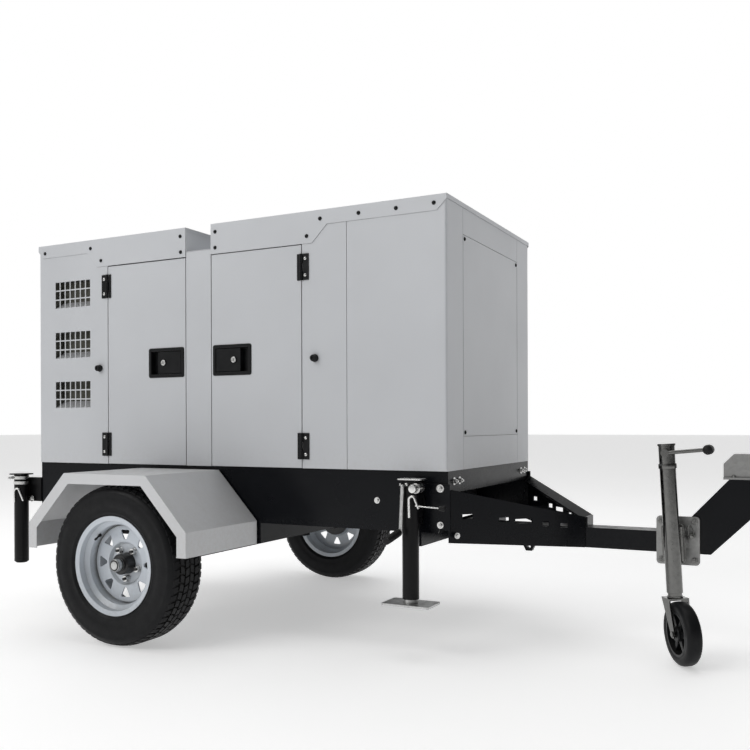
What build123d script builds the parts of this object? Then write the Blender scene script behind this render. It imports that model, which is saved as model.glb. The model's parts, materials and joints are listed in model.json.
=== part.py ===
from build123d import *
import os
from math import cos, radians, sin, sqrt

# A towable diesel generator: a sound-proofed generating set on a two-wheel site trailer.
# Millimetres.  +X points to the towing end, +Y to the left and +Z up.  Every place below is
# measured from the ground under the middle of the axle; save() shifts the whole trailer so
# that the origin is on the ground under the middle of its overall box.

# ---- driving dimensions ---------------------------------------------------------------
AHEAD = 2475.0            # axle to the tip of the coupling
BEHIND = 1000.0           # axle to the back of the rear prop stands
AXLE_X = (BEHIND - AHEAD) / 2

CANOPY_REAR = -856.0
CANOPY_FRONT = 1228.0
CANOPY_HALF = 500.0       # half the canopy's width
CANOPY_FLOOR = 687.0
CANOPY_TOP = 1707.0
SHEET = 2.0               # canopy sheet thickness
FOLD = 24.0               # depth of the folded edges of panels and doors
SEAM = 2.0                # half the gap between neighbouring panels

REAR_DOOR = (-424.0, 21.0)
FRONT_DOOR = (157.0, 605.0)
SIDE_PANEL_END = 810.0
END_WRAP = 333.0          # how near the centreline the corner panels reach
DOOR_TOP = 1578.0
POST_TOP = 1603.0

BASE_HALF = 490.0
BASE_BOTTOM = 457.0
PLATE = 6.0               # base and drawbar plate thickness

WHEEL_RADIUS = 315.0
TYRE_WIDTH = 190.0
WHEEL_Y = 838.0
RIM_RADIUS = 178.0        # bead seat of a 14 inch rim
FLANGE_RADIUS = 194.0
STUD_PCD = 120.65
SPINDLE_R = 20.0
RUNNING = 0.05            # radial running clearance

GUARD_OUT = 950.0
GUARD_IN = 500.0
GUARD_PLATE = 3.0

BEAM_HALF = 50.0
BEAM_LOW = 377.0
BEAM_HIGH = 455.0
NECK_START = 1966.0

JOCKEY_LEAN = 3.0         # degrees, foot forward
JOCKEY_PIVOT = (1968.0, 423.0)
JOCKEY_Y = -170.0
JOCKEY_TURN = 58.0        # how far the castor is turned
JOCKEY_TUBE_R = 28.5

JACK_X, JACK_Y = 1108.0, 560.0
PROP_X, PROP_Y = -960.0, 520.0


# ---- helpers --------------------------------------------------------------------------
def block(x0, x1, y0, y1, z0, z1):
    """A box between opposite corners."""
    middle = Pos((x0 + x1) / 2, (y0 + y1) / 2, (z0 + z1) / 2)
    return middle * Box(abs(x1 - x0), abs(y1 - y0), abs(z1 - z0))


def prism(points, along):
    """A closed outline of 3-D points, pushed along a vector."""
    outline = Wire.make_polygon([Vector(*p) for p in points], close=True)
    return Solid.extrude(Face(outline), Vector(*along))


def plate_xz(outline, y0, y1):
    """A plate with its outline in X-Z, between two places across the trailer."""
    return prism([(x, y0, z) for x, z in outline], (0, y1 - y0, 0))


def rod(start, end, radius, bore=0.0):
    """A round bar or tube between two points."""
    start, end = Vector(*start), Vector(*end)
    run = end - start
    place = Plane(origin=start, z_dir=run)
    bar = Solid.make_cylinder(radius, run.length, place)
    if bore:
        bar = bar - Solid.make_cylinder(bore, run.length, place)
    return bar


def ring_y(profile, y_mid, x=0.0, z=WHEEL_RADIUS):
    """A closed (radius, offset) profile spun about a crosswise axle."""
    points = [Vector(x, y_mid + offset, z + radius) for radius, offset in profile]
    face = Face(Wire.make_polygon(points, close=True))
    return Solid.revolve(face, 360, Axis((x, y_mid, z), (0, 1, 0)))


def flip(shape):
    """The same piece on the other side of the trailer."""
    return mirror(shape, about=Plane.XZ)


def both(shape):
    return [shape, flip(shape)]


def side_of(shape, side):
    return shape if side == "right" else flip(shape)


def fused(pieces):
    whole = pieces[0]
    for piece in pieces[1:]:
        whole = whole + piece
    return whole


def rounded(outer, radius, *edges_at):
    """Round the upright edges that pass through the given (x, y) places."""
    picked = []
    for edge in outer.edges().filter_by(Axis.Z):
        middle = edge.center()
        for x, y in edges_at:
            if abs(middle.X - x) < 0.1 and abs(middle.Y - y) < 0.1:
                picked.append(edge)
    return fillet(picked, radius)


# ---- canopy ---------------------------------------------------------------------------
VENT_ROWS = (943.0, 1174.0, 1409.0)   # lower edge of each grille
VENT_X = (-752.0, -533.0)
VENT_HEIGHT = 121.0
VENT_COLUMNS, VENT_LINES = 7, 3
VENT_BAR = 5.5
CORNER_R = 8.0


def vent_holes(x0, x1, z0, z1, y0, y1, columns, lines, bar):
    """The cells of a punched grille, as cutting blocks."""
    wide = (x1 - x0 - bar * (columns - 1)) / columns
    tall = (z1 - z0 - bar * (lines - 1)) / lines
    cells = []
    for column in range(columns):
        for line in range(lines):
            x = x0 + column * (wide + bar)
            z = z0 + line * (tall + bar)
            cells.append(block(x, x + wide, y0, y1, z, z + tall))
    return cells


def corner_skin(x_edge, x_end, y_wrap, z0, z1):
    """A side skin on the right that turns round one end of the canopy."""
    toward = 1 if x_end > x_edge else -1
    outer = block(x_edge, x_end, -CANOPY_HALF, -y_wrap, z0, z1)
    outer = rounded(outer, CORNER_R, (x_end, -CANOPY_HALF))
    inner = block(x_edge - toward, x_end - toward * SHEET, -CANOPY_HALF + SHEET, -y_wrap + 1, z0 - 1,
                  z1 + 1)
    inner = rounded(inner, CORNER_R - SHEET, (x_end - toward * SHEET, -CANOPY_HALF + SHEET))
    return outer - inner


def folded_edge(x, toward, z0, z1, depth=FOLD):
    """The inward fold of a side skin along an upright edge."""
    return block(x, x + toward * SHEET, -CANOPY_HALF, -CANOPY_HALF + depth, z0, z1)


def rear_side_panel():
    edge = REAR_DOOR[0] - SEAM
    skin = corner_skin(edge, CANOPY_REAR, 440, CANOPY_FLOOR, CANOPY_TOP - 3)
    skin = skin + folded_edge(edge, -1, CANOPY_FLOOR, CANOPY_TOP - 3)
    for z in VENT_ROWS:
        cells = vent_holes(*VENT_X, z, z + VENT_HEIGHT, -CANOPY_HALF - 5, -CANOPY_HALF + 5,
                           VENT_COLUMNS, VENT_LINES, VENT_BAR)
        skin = skin - cells
    return skin


def intake_hood(z):
    """The folded hood behind a grille: two cheeks, a back and a blade rising from the lower edge."""
    x0, x1 = VENT_X[0] - 12, VENT_X[1] + 12
    y0 = -CANOPY_HALF + SHEET
    deep, low, high = 62, z - 8, z + VENT_HEIGHT + 8
    cheeks = [block(x0, x0 + 2, y0, y0 + deep, low, high), block(x1 - 2, x1, y0, y0 + deep, low, high)]
    back = block(x0, x1, y0 + deep - 2, y0 + deep, low + 30, high)
    slope = [(x0, y0, z - 2), (x0, y0, z), (x0, y0 + deep, z + 36), (x0, y0 + deep, z + 34)]
    blade = prism(slope, (x1 - x0, 0, 0))
    return fused(cheeks + [back, blade])


def rear_side_panels():
    panel = rear_side_panel()
    hoods = [intake_hood(z) for z in VENT_ROWS]
    return both(panel) + hoods + [flip(hood) for hood in hoods]


CONTROL_DOOR = (-230.0, 230.0, 1150.0, 1610.0)   # y, y, z, z
INTAKE = (-330.0, 330.0, 770.0, 1070.0)


FLAP_HINGE_Y = CONTROL_DOOR[0] + 1.5
FLAP_HINGE_Z = (1230.0, 1530.0)


def flap_leaf(z, moving):
    """A leaf of the control door's hinges: a side door's leaf turned onto the rear wall."""
    leaf = Pos(-HINGE_X["rear"], CANOPY_HALF, 0) * hinge_leaf("rear", z, moving)
    leaf = mirror(leaf, about=Plane(origin=(0, 0, 0), z_dir=(1, -1, 0)))
    return Pos(CANOPY_REAR, FLAP_HINGE_Y, 0) * leaf


def rear_wall():
    y0, y1, z0, z1 = CONTROL_DOOR
    wall = block(CANOPY_REAR, CANOPY_REAR + SHEET, -438, 438, CANOPY_FLOOR, CANOPY_TOP - 3)
    wall = wall - block(CANOPY_REAR - 1, CANOPY_REAR + 5, y0, y1, z0, z1)
    rim = block(CANOPY_REAR + SHEET, CANOPY_REAR + FOLD, y0 - 2, y1 + 2, z0 - 2, z1 + 2)
    rim = rim - block(CANOPY_REAR, CANOPY_REAR + 60, y0, y1, z0, z1)
    slots = []
    for row in range(8):
        low = INTAKE[2] + row * 38
        for column in range(4):
            left = INTAKE[0] + 5 + column * 165
            slots.append(block(CANOPY_REAR - 1, CANOPY_REAR + 5, left, left + 155, low, low + 18))
    hole = Pos(CANOPY_REAR, -330, 1380) * Rot(0, 90, 0) * Cylinder(11.5, 10)
    return [fused([wall + rim - slots - hole] + [flap_leaf(z, False) for z in FLAP_HINGE_Z])]


def fixed_side_panels():
    """The posts between the doors and the fixed panels in front of them, with the front corners."""
    x0, x1 = REAR_DOOR[1] + SEAM, FRONT_DOOR[0] - SEAM
    z0 = CANOPY_FLOOR
    post = block(x0, x1, -CANOPY_HALF, -CANOPY_HALF + SHEET, z0, POST_TOP)
    post = fused([post, folded_edge(x0, 1, z0, POST_TOP), folded_edge(x1, -1, z0, POST_TOP)])
    x0, x1 = FRONT_DOOR[1] + SEAM, SIDE_PANEL_END - 1
    top = CANOPY_TOP - 3
    panel = block(x0, x1, -CANOPY_HALF, -CANOPY_HALF + SHEET, z0, top)
    panel = fused([panel, folded_edge(x0, 1, z0, top), folded_edge(x1, -1, z0, top)])
    edge = SIDE_PANEL_END + 1
    corner = corner_skin(edge, CANOPY_FRONT, END_WRAP + 1, z0, top) + folded_edge(edge, 1, z0, top)
    return both(post) + both(panel) + both(corner)


COVER = (-330.0, 330.0, 815.0, 1588.0)


def front_wall():
    y0, y1, z0, z1 = COVER
    gap = 2
    x1 = CANOPY_FRONT
    wall = block(x1 - SHEET, x1, -END_WRAP + 1, END_WRAP - 1, CANOPY_FLOOR, CANOPY_TOP - 3)
    wall = wall - block(x1 - 9, x1 + 9, y0 - 9, y1 + 9, z0 - gap, z1 + gap)
    frame = block(x1 - 6, x1 - 4, -END_WRAP + 1, END_WRAP - 1, z0 - 30, z1 + 30)
    frame = frame - block(x1 - 9, x1 + 9, y0 + 30, y1 - 30, z0 + 30, z1 - 30)
    steps = [block(x1 - 6, x1, -END_WRAP + 1, END_WRAP - 1, z0 - gap - 2, z0 - gap),
             block(x1 - 6, x1, -END_WRAP + 1, END_WRAP - 1, z1 + gap, z1 + gap + 2)]
    return [fused([wall, frame] + steps)]


def front_cover():
    y0, y1, z0, z1 = COVER
    return [block(CANOPY_FRONT - 4, CANOPY_FRONT, y0, y1, z0, z1)]


SKIRT_OUT = 503.0
ROOF_GAP = (22.0, 157.0)


def roof_shell(x0, x1, outline, tabs):
    """A folded roof section: a flat top, a shaped skirt each side and an upstand or lip at each end."""
    top = block(x0, x1, -SKIRT_OUT, SKIRT_OUT, CANOPY_TOP, CANOPY_TOP + SHEET)
    skirt = plate_xz(outline, -SKIRT_OUT, -SKIRT_OUT + SHEET)
    shell = fused([top, skirt, flip(skirt)] + tabs)
    crown = [e for e in shell.edges().filter_by(Axis.X)
             if abs(abs(e.center().Y) - SKIRT_OUT) < 0.1 and abs(e.center().Z - CANOPY_TOP - SHEET) < 0.1]
    return fillet(crown, SHEET * 0.9)


def roof_rear_section():
    x0, x1 = CANOPY_REAR - 3, ROOF_GAP[0]
    low, deep, top = 1650, 1582, CANOPY_TOP + 0.1
    outline = [(x0, top), (x0, 1684), (x0 + 28, low), (-547, low), (-488, deep), (x1, deep), (x1, top)]
    tabs = [block(x0, x0 + SHEET, -SKIRT_OUT, SKIRT_OUT, 1690, CANOPY_TOP + SHEET),
            block(x1 - SHEET, x1, -SKIRT_OUT, SKIRT_OUT, 1612, CANOPY_TOP + SHEET)]
    return [roof_shell(x0, x1, outline, tabs)]


OUTLET = (860.0, 990.0, -300.0, 300.0)
HATCH = (1010.0, 1198.0, -300.0, -40.0)


def roof_front():
    x0, x1 = ROOF_GAP[1], CANOPY_FRONT + 3
    low, deep, top = 1650, 1581, CANOPY_TOP + 0.1
    outline = [(x0, top), (x0, deep), (655, deep), (723, low), (x1 - 40, low), (x1, 1690), (x1, top)]
    tabs = [block(x1 - SHEET, x1, -SKIRT_OUT, SKIRT_OUT, 1692, CANOPY_TOP + SHEET),
            block(x0, x0 + SHEET, -SKIRT_OUT, SKIRT_OUT, 1612, CANOPY_TOP + SHEET)]
    shell = roof_shell(x0, x1, outline, tabs)
    ox0, ox1, oy0, oy1 = OUTLET
    slots = []
    for row in range(20):
        left = oy0 + row * 30
        slots.append(block(ox0, ox1, left + 5, left + 25, CANOPY_TOP - 1, CANOPY_TOP + 9))
    hx0, hx1, hy0, hy1 = HATCH
    base = CANOPY_TOP + SHEET
    hatch = block(hx0, hx1, hy0, hy1, base, base + 24)
    hatch = fillet(hatch.edges().filter_by(Axis.Z) + hatch.edges().group_by(Axis.Z)[-1], 8)
    hatch = hatch - block(hx0 + 2, hx1 - 2, hy0 + 2, hy1 - 2, base - 1, base + 20)
    return [shell - slots, hatch]


def roof_tray():
    """The sunk channel between the two roof sections, with the lifting eye standing in it."""
    x0, x1 = ROOF_GAP[0] + 1, ROOF_GAP[1] - 1
    floor = block(x0, x1, -CANOPY_HALF, CANOPY_HALF, POST_TOP + 1, POST_TOP + 3)
    sides = [block(x0, x0 + SHEET, -SKIRT_OUT + 3, SKIRT_OUT - 3, POST_TOP + 1, 1690),
             block(x1 - SHEET, x1, -SKIRT_OUT + 3, SKIRT_OUT - 3, POST_TOP + 1, 1690)]
    tray = fused([floor] + sides)
    mid = (x0 + x1) / 2
    eye = block(mid - 8, mid + 8, -60, 60, POST_TOP + 3, 1680)
    eye = eye - Pos(mid, 0, 1645) * Rot(0, 90, 0) * Cylinder(22, 40)
    pad = block(mid - 40, mid + 40, -90, 90, POST_TOP + 3, POST_TOP + 11)
    return [tray, eye + pad]


def roof_rear():
    return roof_rear_section() + roof_tray()


# ---- doors, hinges and locks ----------------------------------------------------------
HINGE_TALL = 105.0
LEAF_WIDE = {"fixed": 34.0, "moving": 19.0}
HINGE_Z = (775.0, 1489.0)
HINGE_LEAF = 4.0
KNUCKLE_R = 5.0
HINGE_PIN_R = 3.0
PIN_OUT = 6.0              # hinge pin outside the door's face
LOCK_SIZE = (195.0, 129.0)
LOCK_Z = 1132.0
LOCK_X = {"rear": -86.0, "front": 264.0}
DOORS = {"rear": REAR_DOOR, "front": FRONT_DOOR}
HINGE_X = {"rear": REAR_DOOR[0], "front": FRONT_DOOR[1]}
TOWARD = {"rear": 1, "front": -1}       # from the hinge to the free edge
CUP = (174.0, 108.0, 24.0)
PADDLE = (-44.0, 81.0, 96.0)           # finger edge and pivot edge from the dish's middle, height
PIVOT_IN = 6.0                         # from the paddle's pivot edge to its pin
PADDLE_PIN_Y, PADDLE_PIN_R = -CANOPY_HALF + 3, 2.5
PIN_REACH = CUP[1] / 2 - 2             # half the length of the paddle's pin
KEY_OFF = -12.0


def door_panel(which):
    x0, x1 = DOORS[which]
    x0, x1 = x0 + SEAM, x1 - SEAM
    outer = block(x0, x1, -CANOPY_HALF, -CANOPY_HALF + FOLD, CANOPY_FLOOR + 1, DOOR_TOP)
    inner = block(x0 + SHEET, x1 - SHEET, -CANOPY_HALF + SHEET, -CANOPY_HALF + FOLD + 1,
                  CANOPY_FLOOR + 1 + SHEET, DOOR_TOP - SHEET)
    lock = LOCK_X[which]
    hole = block(lock - CUP[0] / 2, lock + CUP[0] / 2, -CANOPY_HALF - 5, -CANOPY_HALF + 5,
                 LOCK_Z - CUP[1] / 2, LOCK_Z + CUP[1] / 2)
    return [outer - inner - hole]


def upright(x, z0, z1, radius, bore=0.0):
    """A round bar or tube on a side door's hinge axis."""
    y = -CANOPY_HALF - PIN_OUT
    return rod((x, y, z0), (x, y, z1), radius, bore)


def hinge_leaf(which, z, moving):
    """One leaf with its share of the knuckles; the pin stays in the fixed leaf."""
    x, toward = HINGE_X[which], TOWARD[which] * (1 if moving else -1)
    wide, tall = LEAF_WIDE["moving" if moving else "fixed"], HINGE_TALL
    third = tall / 3
    y0 = -CANOPY_HALF - HINGE_LEAF
    leaf = block(x + toward * 2.2, x + toward * wide, y0, -CANOPY_HALF, z - tall / 2, z + tall / 2)
    web = block(x, x + toward * (KNUCKLE_R + 2), y0 - 4, -CANOPY_HALF - 2.4, z - tall / 2, z + tall / 2)
    shape = leaf + web
    middle = (z - third / 2, z + third / 2)
    if moving:
        shape = shape - upright(x, z - tall / 2 - 1, middle[0] + 0.5, 7.5)
        shape = shape - upright(x, middle[1] - 0.5, z + tall / 2 + 1, 7.5)
        shape = shape - upright(x, z - tall, z + tall, 3.5)
        return shape + upright(x, middle[0] + 0.5, middle[1] - 0.5, KNUCKLE_R, HINGE_PIN_R + RUNNING)
    shape = shape - upright(x, middle[0], middle[1], 7.5)
    ends = [upright(x, z - tall / 2, middle[0], KNUCKLE_R), upright(x, middle[1], z + tall / 2, KNUCKLE_R)]
    return fused([shape, upright(x, z - tall / 2, z + tall / 2, HINGE_PIN_R)] + ends)


def fixed_hinge_leaves():
    leaves = [hinge_leaf(which, z, False) for which in DOORS for z in HINGE_Z]
    return leaves + [flip(leaf) for leaf in leaves]


def lock_dish(which):
    """The black dish that the paddle folds flat into."""
    x = LOCK_X[which]
    wide, tall = LOCK_SIZE
    front = -CANOPY_HALF - 4
    back = -CANOPY_HALF + CUP[2]
    plate = block(x - wide / 2, x + wide / 2, front, -CANOPY_HALF, LOCK_Z - tall / 2, LOCK_Z + tall / 2)
    plate = fillet(plate.edges().filter_by(Axis.Y), 9)
    plate = chamfer(plate.faces().sort_by(Axis.Y)[0].edges(), 1.5)
    cup = block(x - CUP[0] / 2 + 1, x + CUP[0] / 2 - 1, -CANOPY_HALF, back,
                LOCK_Z - CUP[1] / 2 + 1, LOCK_Z + CUP[1] / 2 - 1)
    hollow = block(x - CUP[0] / 2 + 4, x + CUP[0] / 2 - 4, front - 1, back - 3,
                   LOCK_Z - CUP[1] / 2 + 4, LOCK_Z + CUP[1] / 2 - 4)
    pin_x = x + TOWARD[which] * (PADDLE[1] - PIVOT_IN)
    bore = rod((pin_x, PADDLE_PIN_Y, LOCK_Z - PIN_REACH - 0.5),
               (pin_x, PADDLE_PIN_Y, LOCK_Z + PIN_REACH + 0.5),
               PADDLE_PIN_R + RUNNING)
    return plate + cup - hollow - bore


def door_hardware(which):
    leaves = [hinge_leaf(which, z, True) for z in HINGE_Z]
    return leaves + [lock_dish(which)]


def paddle(which):
    """The pull paddle, hinged along its upright edge by the door's free edge, with the key lock in it."""
    x, toward = LOCK_X[which], TOWARD[which]
    finger, pivot = x + toward * PADDLE[0], x + toward * PADDLE[1]
    tall = PADDLE[2]
    y = -CANOPY_HALF
    plate = block(finger, pivot, y - 3, y + 3, LOCK_Z - tall / 2, LOCK_Z + tall / 2)
    plate = fillet(plate.edges().filter_by(Axis.Y), 5)
    plate = chamfer(plate.faces().sort_by(Axis.Y)[0].edges(), 1.2)
    lip = block(finger, finger + toward * 4, y - 3, y + 12, LOCK_Z - tall / 2 + 6, LOCK_Z + tall / 2 - 6)
    pin_x = pivot - toward * PIVOT_IN
    pin_y = PADDLE_PIN_Y
    barrel = rod((pin_x, pin_y, LOCK_Z - tall / 2 + 4), (pin_x, pin_y, LOCK_Z + tall / 2 - 4), 5)
    pins = rod((pin_x, pin_y, LOCK_Z - PIN_REACH), (pin_x, pin_y, LOCK_Z + PIN_REACH), PADDLE_PIN_R)
    key_x = x + toward * KEY_OFF
    lock = rod((key_x, y - 7, LOCK_Z), (key_x, y + 14, LOCK_Z), 12)
    return [fused([plate, lip, barrel, pins, lock])]


def control_door():
    """The glazed flap at the back, over the controls."""
    y0, y1, z0, z1 = CONTROL_DOOR
    x = CANOPY_REAR + 2
    door = block(x - 2, x + 8, y0 + 3, y1 - 3, z0 + 3, z1 - 3)
    door = door - block(x, x + 9, y0 + 6, y1 - 6, z0 + 6, z1 - 6)
    window = block(x - 5, x + 5, y0 + 70, y1 - 70, z0 + 150, z1 - 60)
    knob = rod((x - 14, y1 - 30, (z0 + z1) / 2), (x - 2, y1 - 30, (z0 + z1) / 2), 13)
    pane = block(x - 2, x + 2, y0 + 70, y1 - 70, z0 + 150, z1 - 60)
    leaves = [flap_leaf(z, True) for z in FLAP_HINGE_Z]
    return [fused([door - window, knob] + leaves), pane]


def stop_button():
    x = CANOPY_REAR
    head = Pos(x - 20, -330, 1380) * Rot(0, 90, 0) * Cylinder(20, 12)
    head = fillet(head.edges().sort_by(Axis.X)[0], 4)
    stem = Pos(x - 4, -330, 1380) * Rot(0, 90, 0) * Cylinder(11, 22)
    return [head + stem]


# ---- inside the canopy ----------------------------------------------------------------
SHAFT_Z = 985.0


def engine():
    crankcase = block(340, 880, -150, 150, 800, 1170)
    head = block(350, 870, -120, 120, 1170, 1260)
    rocker = fillet(block(365, 855, -90, 90, 1260, 1320).edges().group_by(Axis.Z)[-1], 16)
    sump = block(380, 840, -130, 130, 720, 800)
    housing = Pos(270, 0, SHAFT_Z) * Rot(0, 90, 0) * Cylinder(225, 140)
    manifold = block(400, 830, 120, 190, 1185, 1235)
    filters = [rod((x, -195, 850), (x, -195, 990), 42) for x in (520, 640)]
    ledge = block(470, 690, -200, -150, 990, 1010)
    feet = [block(x, x + 70, y, y + 60, CANOPY_FLOOR, 860) for x in (400, 760) for y in (-210, 150)]
    return [fused([crankcase, head, rocker, sump, housing, manifold, ledge] + filters + feet)]


def cooling_fan():
    """The fan and the pulley that carries it, on the engine's nose."""
    z = 1060
    hub = Pos(937, 0, z) * Rot(0, 90, 0) * Cylinder(60, 34)
    blades = []
    for step in range(8):
        blade = Pos(937, 0, z) * Rot(step * 45, 0, 0) * Pos(0, 0, 135) * Rot(0, 0, 28) * Box(6, 70, 180)
        blades.append(blade)
    return [fused([hub] + blades)]


def alternator():
    body = Pos(-50, 0, SHAFT_Z) * Rot(0, 90, 0) * Cylinder(190, 420)
    bell = Pos(-290, 0, SHAFT_Z) * Rot(0, 90, 0) * Cylinder(165, 60)
    neck = Pos(180, 0, SHAFT_Z) * Rot(0, 90, 0) * Cylinder(215, 40)
    box_on_top = block(-200, 90, -130, 130, SHAFT_Z + 150, SHAFT_Z + 290)
    feet = [block(x, x + 60, y, y + 70, CANOPY_FLOOR, SHAFT_Z - 60)
            for x in (-200, 40) for y in (-190, 120)]
    bore = Pos(-60, 0, SHAFT_Z) * Rot(0, 90, 0) * Cylinder(110, 360)
    return [fused([body, bell, neck, box_on_top] + feet) - bore]


def radiator():
    core = block(1010, 1050, -330, 330, 760, 1440)
    tanks = [block(1000, 1060, -340, 340, 710, 760), block(1000, 1060, -340, 340, 1440, 1500)]
    shroud = block(985, 1010, -320, 320, 760, 1440)
    shroud = shroud - Pos(985, 0, 1060) * Rot(0, 90, 0) * Cylinder(250, 60)
    feet = block(1010, 1050, -330, 330, CANOPY_FLOOR, 710)
    return [fused([core, shroud, feet] + tanks)]


def silencer():
    """A hollow exhaust box over the engine, blowing up through the roof grille."""
    can = Pos(640, 0, 1480) * Rot(0, 90, 0) * Cylinder(105, 500)
    can = fillet(can.edges(), 18)
    down = rod((560, 158, 1235), (560, 158, 1440), 26)
    link = rod((560, 158, 1425), (560, 40, 1478), 26)
    tail = rod((840, 0, 1500), (925, 0, 1690), 32)
    shell = fused([can, down, link, tail])
    hollow = Pos(640, 0, 1480) * Rot(0, 90, 0) * Cylinder(102, 480)
    return [shell - hollow - rod((836, 0, 1491), (929, 0, 1699), 29)]


def battery():
    case = block(-130, 140, -430, -260, CANOPY_FLOOR, CANOPY_FLOOR + 200)
    posts = [rod((x, -300, CANOPY_FLOOR + 200), (x, -300, CANOPY_FLOOR + 218), 9) for x in (-95, 105)]
    return [fused([case] + posts)]


def control_panel():
    y0, y1, z0, z1 = CONTROL_DOOR
    x = CANOPY_REAR + FOLD
    case = block(x + 30, x + 190, y0 + 4, y1 - 4, z0 + 4, z1 - 4)
    case = case - block(x + 32, x + 191, y0 + 6, y1 - 6, z0 + 6, z1 - 6)
    flange = block(x, x + 30, y0 - 2, y1 + 2, z0 - 2, z1 + 2)
    flange = flange - block(x - 1, x + 31, y0 + 6, y1 - 6, z0 + 6, z1 - 6)
    screen = block(x + 22, x + 30, -70, 70, 1440, 1540)
    breaker = block(x + 12, x + 30, -150, -70, 1290, 1390)
    knobs = [rod((x + 14, y, 1330), (x + 30, y, 1330), 14) for y in (20, 80, 140)]
    return [fused([case, flange, screen, breaker] + knobs)]


# ---- base, axle and mudguards ---------------------------------------------------------
def channel_down(x0, x1, y0, y1, z0, z1, wall=5):
    """A crosswise channel, open underneath."""
    return block(x0, x1, y0, y1, z0, z1) - block(x0 + wall, x1 - wall, y0 + 1, y1 - 1, z0 - 1, z1 - wall)


def base_frame():
    """The deep welded base that carries the set, with the axle carrier under it."""
    x0, x1 = CANOPY_REAR, CANOPY_FRONT
    side = plate_xz([(x0, BASE_BOTTOM), (x1 - 40, BASE_BOTTOM), (x1, BASE_BOTTOM + 148), (x1, CANOPY_FLOOR),
                     (x0, CANOPY_FLOOR)], -BASE_HALF, -BASE_HALF + PLATE)
    flange = block(x0, x1, -BASE_HALF, -BASE_HALF + 70, CANOPY_FLOOR - PLATE, CANOPY_FLOOR)
    carrier = block(-400, 398, -BASE_HALF, -BASE_HALF + 60, 373, BASE_BOTTOM)
    carrier = carrier - block(-340, 338, -BASE_HALF + PLATE, -BASE_HALF + 61, 373 + PLATE,
                              BASE_BOTTOM - PLATE)
    lip = block(x0, x1 - 40, -BASE_HALF, -BASE_HALF + 60, BASE_BOTTOM, BASE_BOTTOM + PLATE)
    stays = [block(x - 20, x + 20, -700, -BASE_HALF, 629, 669) for x in (-150, 150)]
    stays = [stay - block(stay.center().X - 16, stay.center().X + 16, -701, -BASE_HALF, 633, 665)
             for stay in stays]
    pieces = [side, flange, carrier, lip] + stays
    pieces += [flip(piece) for piece in pieces]
    pieces.append(block(x1 - PLATE, x1, -BASE_HALF, BASE_HALF, 605, CANOPY_FLOOR))
    pieces.append(block(x0, x0 + PLATE, -BASE_HALF, BASE_HALF, 520, CANOPY_FLOOR))
    pieces += [channel_down(x - 30, x + 30, -BASE_HALF, BASE_HALF, 641, CANOPY_FLOOR)
               for x in (-250, 60, 600, 1040)]
    pieces += [channel_down(x - 30, x + 30, -BASE_HALF, BASE_HALF, 373, BASE_BOTTOM) for x in (-370, 368)]
    pieces.append(channel_down(1080, 1120, -BASE_HALF, BASE_HALF, 405, BASE_BOTTOM + PLATE))
    return [fused(pieces)]


def fuel_tank():
    """A sheet tank slung inside the base, with its filler neck."""
    x0, x1, y, z0, z1 = -700, 1000, 420, BASE_BOTTOM + PLATE, 640
    tank = block(x0, x1, -y, y, z0, z1) - block(x0 + 3, x1 - 3, -y + 3, y - 3, z0 + 3, z1 - 3)
    neck = rod((-480, -330, z1 - 3), (-480, -330, 760), 32, 28)
    cap = rod((-480, -330, 760), (-480, -330, 782), 40)
    tank = tank - rod((-480, -330, z1 - 10), (-480, -330, z1 + 1), 28)
    return [fused([tank, neck, cap])]


def axle_beam():
    """A square axle on welded saddles, with a turned spindle at each end."""
    z = WHEEL_RADIUS
    beam = block(-30, 30, -730, 730, z - 30, z + 30)
    spindles = [rod((0, side * 730, z), (0, side * (WHEEL_Y + 17), z), SPINDLE_R) for side in (-1, 1)]
    shoulders = [rod((0, side * 730, z), (0, side * 752, z), 38) for side in (-1, 1)]
    saddles = [block(-60, 60, side * 485, side * 435, z + 30, 373) for side in (-1, 1)]
    straps = [block(x, x + 8, side * 485, side * 435, z - 38, z + 30)
              for side in (-1, 1) for x in (-38, 30)]
    keepers = [block(-38, 38, side * 485, side * 435, z - 38, z - 30) for side in (-1, 1)]
    return [fused([beam] + spindles + shoulders + saddles + straps + keepers)]


GUARD_OUTLINE = [(-421, 366), (-421, 467), (-225, 672), (193, 672), (385, 467), (385, 373)]
GUARD_LIP = [(-377, 366), (-377, 450), (-204, 630), (170, 632), (342, 450), (342, 373)]


def inset(outline, distance):
    """An open outline moved towards its inside by a plate's thickness."""
    moved = []
    for index, (x, z) in enumerate(outline):
        turns = []
        for a, b in ((index - 1, index), (index, index + 1)):
            if 0 <= a and b < len(outline):
                dx = outline[b][0] - outline[a][0]
                dz = outline[b][1] - outline[a][1]
                length = sqrt(dx * dx + dz * dz)
                turns.append((dz / length, -dx / length))
        nx = sum(t[0] for t in turns) / len(turns)
        nz = sum(t[1] for t in turns) / len(turns)
        scale = distance / (nx * nx + nz * nz)
        moved.append((x + nx * scale, z + nz * scale))
    return moved


def mudguard():
    """A folded tread plate over the wheel with a flat lip down its outer side."""
    under = inset(GUARD_OUTLINE, GUARD_PLATE)
    tread = plate_xz(GUARD_OUTLINE + under[::-1], -GUARD_OUT, -GUARD_IN)
    lip = plate_xz(GUARD_OUTLINE + GUARD_LIP[::-1], -GUARD_OUT, -GUARD_OUT + GUARD_PLATE)
    hem = block(340, 385, -GUARD_OUT, -GUARD_IN, 373, 373 + GUARD_PLATE)
    return fused([tread, lip, hem])


def mudguards():
    return both(mudguard())


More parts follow.
